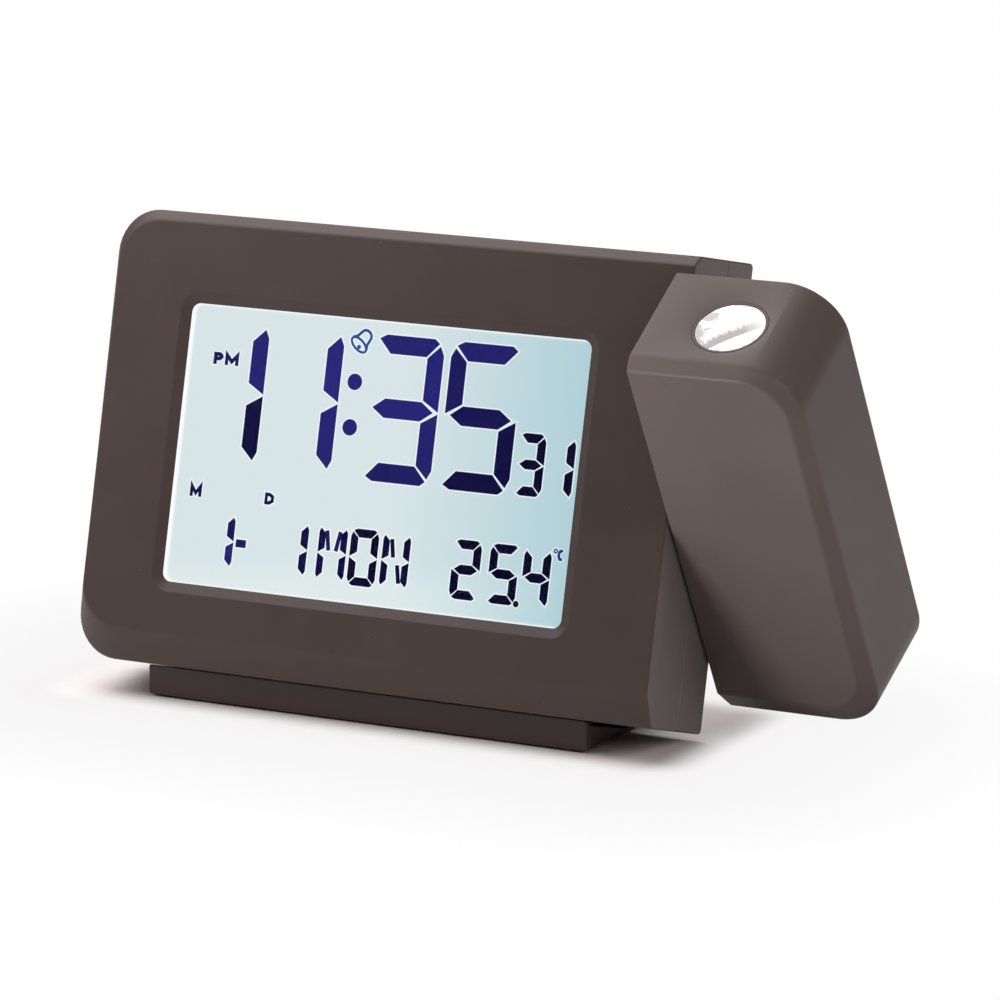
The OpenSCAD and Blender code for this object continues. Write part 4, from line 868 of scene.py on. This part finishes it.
def display_part(name, material, points, faces, key, values):
    """A flat part of the display with a value on each point."""
    mesh = bpy.data.meshes.new(name)
    mesh.from_pydata(slab_place(points).tolist(), [], faces)
    mesh.materials.append(material)
    mesh.attributes.new(key, "FLOAT", "POINT").data.foreach_set(
        "value", np.asarray(values, np.float32))
    obj = added(name, mesh)
    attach(obj, "slab")


def display():
    """The display behind the window: rings from its edge inwards, with the glow of the edge as
    a value on each point."""
    insets = (-2.0, -0.25, 0.05, 0.25, 0.45, 0.8)
    glows = (1.0, 1.0, 0.8, 0.3, 0.05, 0.0)
    p = np.stack([ring(grow(OPENING, -g), LCD_Y - 0.05) for g in insets])
    rows, cols = p.shape[:2]
    last = (rows - 1) * cols
    faces = grid_faces(rows, cols).tolist() + [list(range(last, last + cols))]
    display_part("display_front", DISPLAY, p.reshape(-1, 3), [f[::-1] for f in faces],
                 "edge_glow", np.repeat(glows, cols))


# One segment each as corners: side across (0 left, 1 right), side up (0 foot, 1 head), and
# the steps from there in stroke widths
SEGMENT_A = [(0, 1, .31, -.23), (0, 1, .74, 0), (1, 1, -.62, 0), (1, 1, -.31, -.24),
             (1, 1, -1.03, -1), (0, 1, 1.03, -1)]
SEGMENT_B = [(1, 1, -.24, -.37), (1, 1, 0, -.85), (1, .5, 0, .04), (1, .5, -.97, .61),
             (1, 1, -.97, -1.06)]
SEGMENT_G = [(1, .5, -1.03, .52), (1, .5, -.29, 0), (1, .5, -1.03, -.51), (0, .5, 1.03, -.51),
             (0, .5, .29, 0), (0, .5, 1.03, .52)]
DIGITS = {"1": "bc", "2": "abged", "3": "abgcd", "4": "fgbc", "5": "afgcd", "0": "abcdef",
          "H": "bcef"}


def turned_over(shape, across, up):
    """A segment mirrored across, up or both."""
    return [((1 - sx) if across else sx, (1 - sz) if up else sz, -dx if across else dx,
             -dz if up else dz) for sx, sz, dx, dz in shape]


SEGMENTS = {"a": SEGMENT_A, "b": SEGMENT_B, "g": SEGMENT_G,
            "c": turned_over(SEGMENT_B, False, True), "d": turned_over(SEGMENT_A, False, True),
            "e": turned_over(SEGMENT_B, True, True), "f": turned_over(SEGMENT_B, True, False)}


def cell(sign, x0, z0, w, h, t):
    """The segments that a sign lights in a cell of a given size, as closed loops."""
    return [np.array([(x0 + sx * w + dx * t, z0 + sz * h + dz * t)
                      for sx, sz, dx, dz in SEGMENTS[k]]) for k in DIGITS[sign]]


def disc(x, z, r, n=20):
    """A round dot as a loop of n points."""
    a = np.linspace(0, 2 * math.pi, n, endpoint=False)
    return np.stack([x + r * np.cos(a), z + r * np.sin(a)], axis=-1)


def ribbon(points, width, closed=False):
    """A polyline of even width: each point moves half the width along its mitre to both sides.
    A closed one comes as one loop for each of its sides."""
    p = np.asarray(points, float)
    if closed:
        out, inn = moved_in(p, -width / 2), moved_in(p, width / 2)
        return [np.array(q) for q in zip(out, np.roll(out, -1, axis=0),
                                         np.roll(inn, -1, axis=0), inn)]
    e = np.diff(p, axis=0)
    e /= np.linalg.norm(e, axis=1, keepdims=True)
    n = np.stack([-e[:, 1], e[:, 0]], axis=-1)
    first, last = np.vstack([n[:1], n]), np.vstack([n, n[-1:]])
    m = (first + last) / (1 + (first * last).sum(axis=1, keepdims=True)) * width / 2
    return [np.concatenate([p + m, (p - m)[::-1]])]


def letter(kind, x0, x1, b, t, w):
    """A small M, D, P or C from ribbons between its limits; w is the stroke."""
    h = w / 2
    l, r, c = x0 + h, x1 - h, (t - b) * 0.48
    if kind == "M":
        return ribbon([(l, b), (l, t - h), ((l + r) / 2, b + w), (r, t - h), (r, b)], w)
    if kind == "D":
        return ribbon([(l, b + h), (l + (r - l) * .5, b + h), (r, b + (t - b) * .32),
                       (r, t - (t - b) * .32), (l + (r - l) * .5, t - h), (l, t - h)], w, True)
    if kind == "P":
        return ribbon([(l, b), (l, t - h), (r - h, t - h), (r, t - h - w * .4),
                       (r, b + c + w * .4), (r - h, b + c), (l + h, b + c)], w)
    a = np.radians(np.linspace(50, 310, 12))
    mx, mz = (x0 + x1) / 2, (b + t) / 2
    return ribbon(np.stack([mx + (r - mx) * np.cos(a), mz + (t - h - mz) * np.sin(a)], axis=-1), w)


def bell(x, z, turn):
    """The alarm bell: dome, flared mouth as a flat ellipse, and clapper."""
    mouth = disc(0, 0, 1, 24) * (1.9, 0.95)
    a = np.radians(np.linspace(0, 180, 12))
    dome = np.stack([1.15 * np.cos(a), 2.2 + np.sin(a)], axis=-1)
    dome = np.concatenate([[(1.9, 0.25), (1.35, 1.0)], dome, [(-1.35, 1.0), (-1.9, 0.25)]])
    loops = ribbon(mouth, 0.48, True) + ribbon(dome, 0.55) + [disc(0.3, -0.3, 0.42)]
    c, s = math.cos(turn), math.sin(turn)
    return [q @ np.array([[c, s], [-s, c]]) + [x, z] for q in loops]


TIME, SECONDS, DATE = (38.95, 14.8, 27.3, 3.5), (39.3, 5.6, 11.5, 1.75), (19.5, 5.8, 10.4, 1.65)
GRADES = (19.1, 5.85, 11.0, 1.7)  # each: foot, width, height and stroke of a row's digits
HALO = (0.75, 0.6, 0.0)  # glow on a sign's edge, inside the ring round it and at its rim


def glyphs():
    """All lit signs as (closed loop, tint). Tint 0 is near black, 0.4 navy, 0.9 blue-violet
    and 1 the bell's blue; a tuple gives each segment its own."""
    groups = [
        (cell("1", 20.2, *TIME), (0.78, 0.3)),
        (cell("1", 36.25, *TIME), (0.9, 0.82)),
        (cell("3", 57.3, *TIME), (0.78, 0.85, 0.85, 0.75, 0.65)),
        (cell("5", 73.55, *TIME), (0.75, 0.6, 0.5, 0.38, 0.34)),
        ([disc(54.1, z, 1.55, 32) for z in (56.9, 48.4)], 0.8),
        (cell("3", 89.4, *SECONDS) + cell("1", 95.5, *SECONDS), 0.1),
        (letter("P", 23.5, 25.6, 57.6, 59.9, 0.76)
         + letter("M", 26, 28.95, 57.6, 59.9, 0.72), 0.6),
        (letter("M", 21.6, 24.15, 32.4, 34.7, 0.68)
         + letter("D", 37.8, 39.8, 32.4, 34.65, 0.66), 0.45),
        (cell("1", 26.4, *DATE), (0.55, 0.8)),
        (cell("1", 42.25, *DATE), 0.4),
        ([np.array([(32.7, 23.8), (34.9, 23.8), (34.9, 25.3), (32.7, 25.3)])], 0.65),
        (cell("H", 50.25, 19.5, 6.05, 10.4, 1.45), 0.4),
        (ribbon([(51.85, 28.9), (52.5, 25.2)], 0.85)
         + ribbon([(54.7, 28.9), (54.05, 25.2)], 0.85), 0.55),
        (cell("0", 57.0, 19.3, 5.9, 10.6, 1.6), 0.12),
        (cell("H", 63.8, 19.5, 5.8, 10.4, 1.45), 0.25),
        (ribbon([(65.6, 28.7), (66.2, 25.3)], 0.85)
         + ribbon([(67.2, 24.0), (67.85, 20.6)], 0.85), 0.35),
        (cell("2", 78.5, *GRADES) + cell("5", 86.15, 19.1, 6.0, 11.0, 1.7), 0.08),
        (cell("4", 93.1, 19.1, 5.6, 11.0, 1.7) + [disc(92.45, 19.5, 0.6)], 0.08),
        (ribbon(disc(99.35, 29.95, 0.32, 12), 0.28, True)
         + letter("C", 99.75, 101.2, 28.2, 30.35, 0.58), 0.95),
        (bell(54.1, 63.85, math.radians(-38)), 1.1),
    ]
    out = []
    for loops, tint in groups:
        out.extend(zip(loops, tint if isinstance(tint, tuple) else (tint,) * len(loops)))
    return out


def on_display(loop, out):
    """A loop of (x, z) in front of the display by so much."""
    return np.stack([loop[:, 0], np.full(len(loop), LCD_Y - out), loop[:, 1]], axis=-1)


def segments():
    """Each sign's loop filled, and round it a ring that fades from a pale glow into the
    display."""
    points, faces, tints, halo, halo_faces, glow = [], [], [], [], [], []
    for loop, tint in glyphs():
        n, start = len(loop), len(tints)
        points.append(on_display(loop, 0.1))
        faces.append(list(range(start, start + n)))
        tints += [tint] * n
        reach = 0.34 if n < 8 else 0.22
        halo += [on_display(q, 0.075)
                 for q in (loop, moved_in(loop, -reach * 0.45), moved_in(loop, -reach))]
        halo_faces += (grid_faces(3, n) + 3 * start).tolist()
        glow += np.repeat(HALO, n).tolist()
    display_part("display_segments", SEGMENT, np.concatenate(points), faces, "segment_tint",
                 tints)
    display_part("display_segment_glow", DISPLAY, np.concatenate(halo), halo_faces,
                 "edge_glow", glow)


finish_nodes()
front_shell()
rear_shell()
battery_door()
foot()
snooze_button()
push_buttons()
slide_knob()
arm_shell()
arm_cover()
focus_ring()
lens_barrel()
projector_lens()
display()
segments()

# ---- floor, light and camera ----

SHADE_X, SHADE_Y = 58.0, 18.0  # half sides of the oblong on the floor that keeps the shadow


def stage():
    """A pale floor that keeps the clock's soft shadow and looks white away from the clock. Close
    to the clock its colour is warmer, a painted reflection of the housing, and the camera's white
    is a little greyer there, a painted shade.
    """
    size = 3.0
    mesh = bpy.data.meshes.new("floor")
    mesh.from_pydata([(-size, -size, 0), (size, -size, 0), (size, size, 0), (-size, size, 0)], [],
                     [(0, 1, 2, 3)])
    floor = added("floor", mesh)
    f = Finish("pale_floor", Roughness=0.5)
    spot = f.spot()
    x, y = (f.along(spot, d).size() for d in ((1, 0, 0), (0, 1, 0)))
    off = ((x - SHADE_X).most(0.0) ** 2.0 + (y - SHADE_Y).most(0.0) ** 2.0) ** 0.5
    far = f.remap(off, 1.0, 12.0, smooth=True)
    # Painted reflection: close to the clock the floor's colour is warmer, for the brown housing
    # seen in the table.
    f.set(Base_Color=f.mix(far, (0.9, 0.82, 0.80), (0.92, 0.915, 0.91)))
    # Painted shade: the camera's white is a little greyer close to the clock.
    white = f.node("Emission", Strength=1.0,
                   Color=f.mix(f.remap(off, 10.0, 70.0), (0.915, 0.9, 0.905), (1.0, 1.0, 1.0)))
    seen = f.node("LightPath", "Is Camera Ray")
    mix = f.tree.nodes.new("ShaderNodeMixShader")
    put(f.tree, mix.inputs[0], far * seen)
    f.tree.links.new(f.shader.outputs[0], mix.inputs[1])
    put(f.tree, mix.inputs[2], white)
    f.tree.links.new(mix.outputs[0], f.out.inputs[0])
    floor.data.materials.append(f.material)


def lamp(name, power, size, at, target=(0, 0, 0.045)):
    """A square area light of a power in watts and a side in metres, turned to its target."""
    data = bpy.data.lights.new(name, "AREA")
    data.energy, data.size = power, size
    obj = added(name, data)
    obj.location = at
    obj.rotation_euler = (Vector(target) - Vector(at)).to_track_quat("-Z", "Y").to_euler()
    return obj


def keep_to_arm(light):
    """A low light that falls on the arm's housing alone, whose face looks down to the table."""
    pieces = bpy.data.collections.new("arm_pieces")
    for name in ("arm_shell_skin", "arm_cover_plate"):
        pieces.objects.link(bpy.data.objects[name])
    light.light_linking.receiver_collection = pieces


def world():
    """Even pale light; the camera sees it as white."""
    w = bpy.data.worlds.new("studio")
    bpy.context.scene.world = w
    w.use_nodes = True
    t = w.node_tree
    t.nodes.clear()
    out, path, light, seen, mix = (t.nodes.new("ShaderNode" + kind) for kind in (
        "OutputWorld", "LightPath", "Background", "Background", "MixShader"))
    for b, strength in ((light, 0.12), (seen, 1.0)):
        put(t, b.inputs["Strength"], strength)
        put(t, b.inputs["Color"], (1, 1, 1))
    for k, socket in enumerate((path.outputs["Is Camera Ray"], light.outputs[0],
                                seen.outputs[0])):
        t.links.new(socket, mix.inputs[k])
    t.links.new(mix.outputs[0], out.inputs[0])


def camera():
    """The photograph's view: from the right of the clock's front and slightly above it."""
    yaw, pitch, distance = math.radians(27.502), math.radians(12.358), 0.97976
    focus = Vector((0.031075, -0.0234, 0.046689))
    focal, frame_width, sensor = 5414.9, 1000, 36.0  # pixels, pixels, millimetres
    away = Vector((math.sin(yaw) * math.cos(pitch), -math.cos(yaw) * math.cos(pitch),
                   math.sin(pitch)))
    data = bpy.data.cameras.new("camera")
    data.sensor_width, data.lens = sensor, focal * sensor / frame_width
    obj = added("camera", data)
    obj.location = focus + away * distance
    obj.rotation_euler = (math.pi / 2 - pitch, 0, yaw)
    bpy.context.scene.camera = obj


stage()
world()
lamp("top_light", 12, 1.2, (-0.35, 0.2, 0.95))
lamp("left_light", 0.6, 0.25, (-0.2, -0.14, 0.27))
lamp("right_light", 3.5, 0.5, (0.85, -0.15, 0.5))
keep_to_arm(lamp("arm_light", 3.0, 0.15, (-0.14, -0.4, 0.01), (0.085, 0, 0.02)))
camera()
bpy.context.scene.view_settings.view_transform = "Standard"
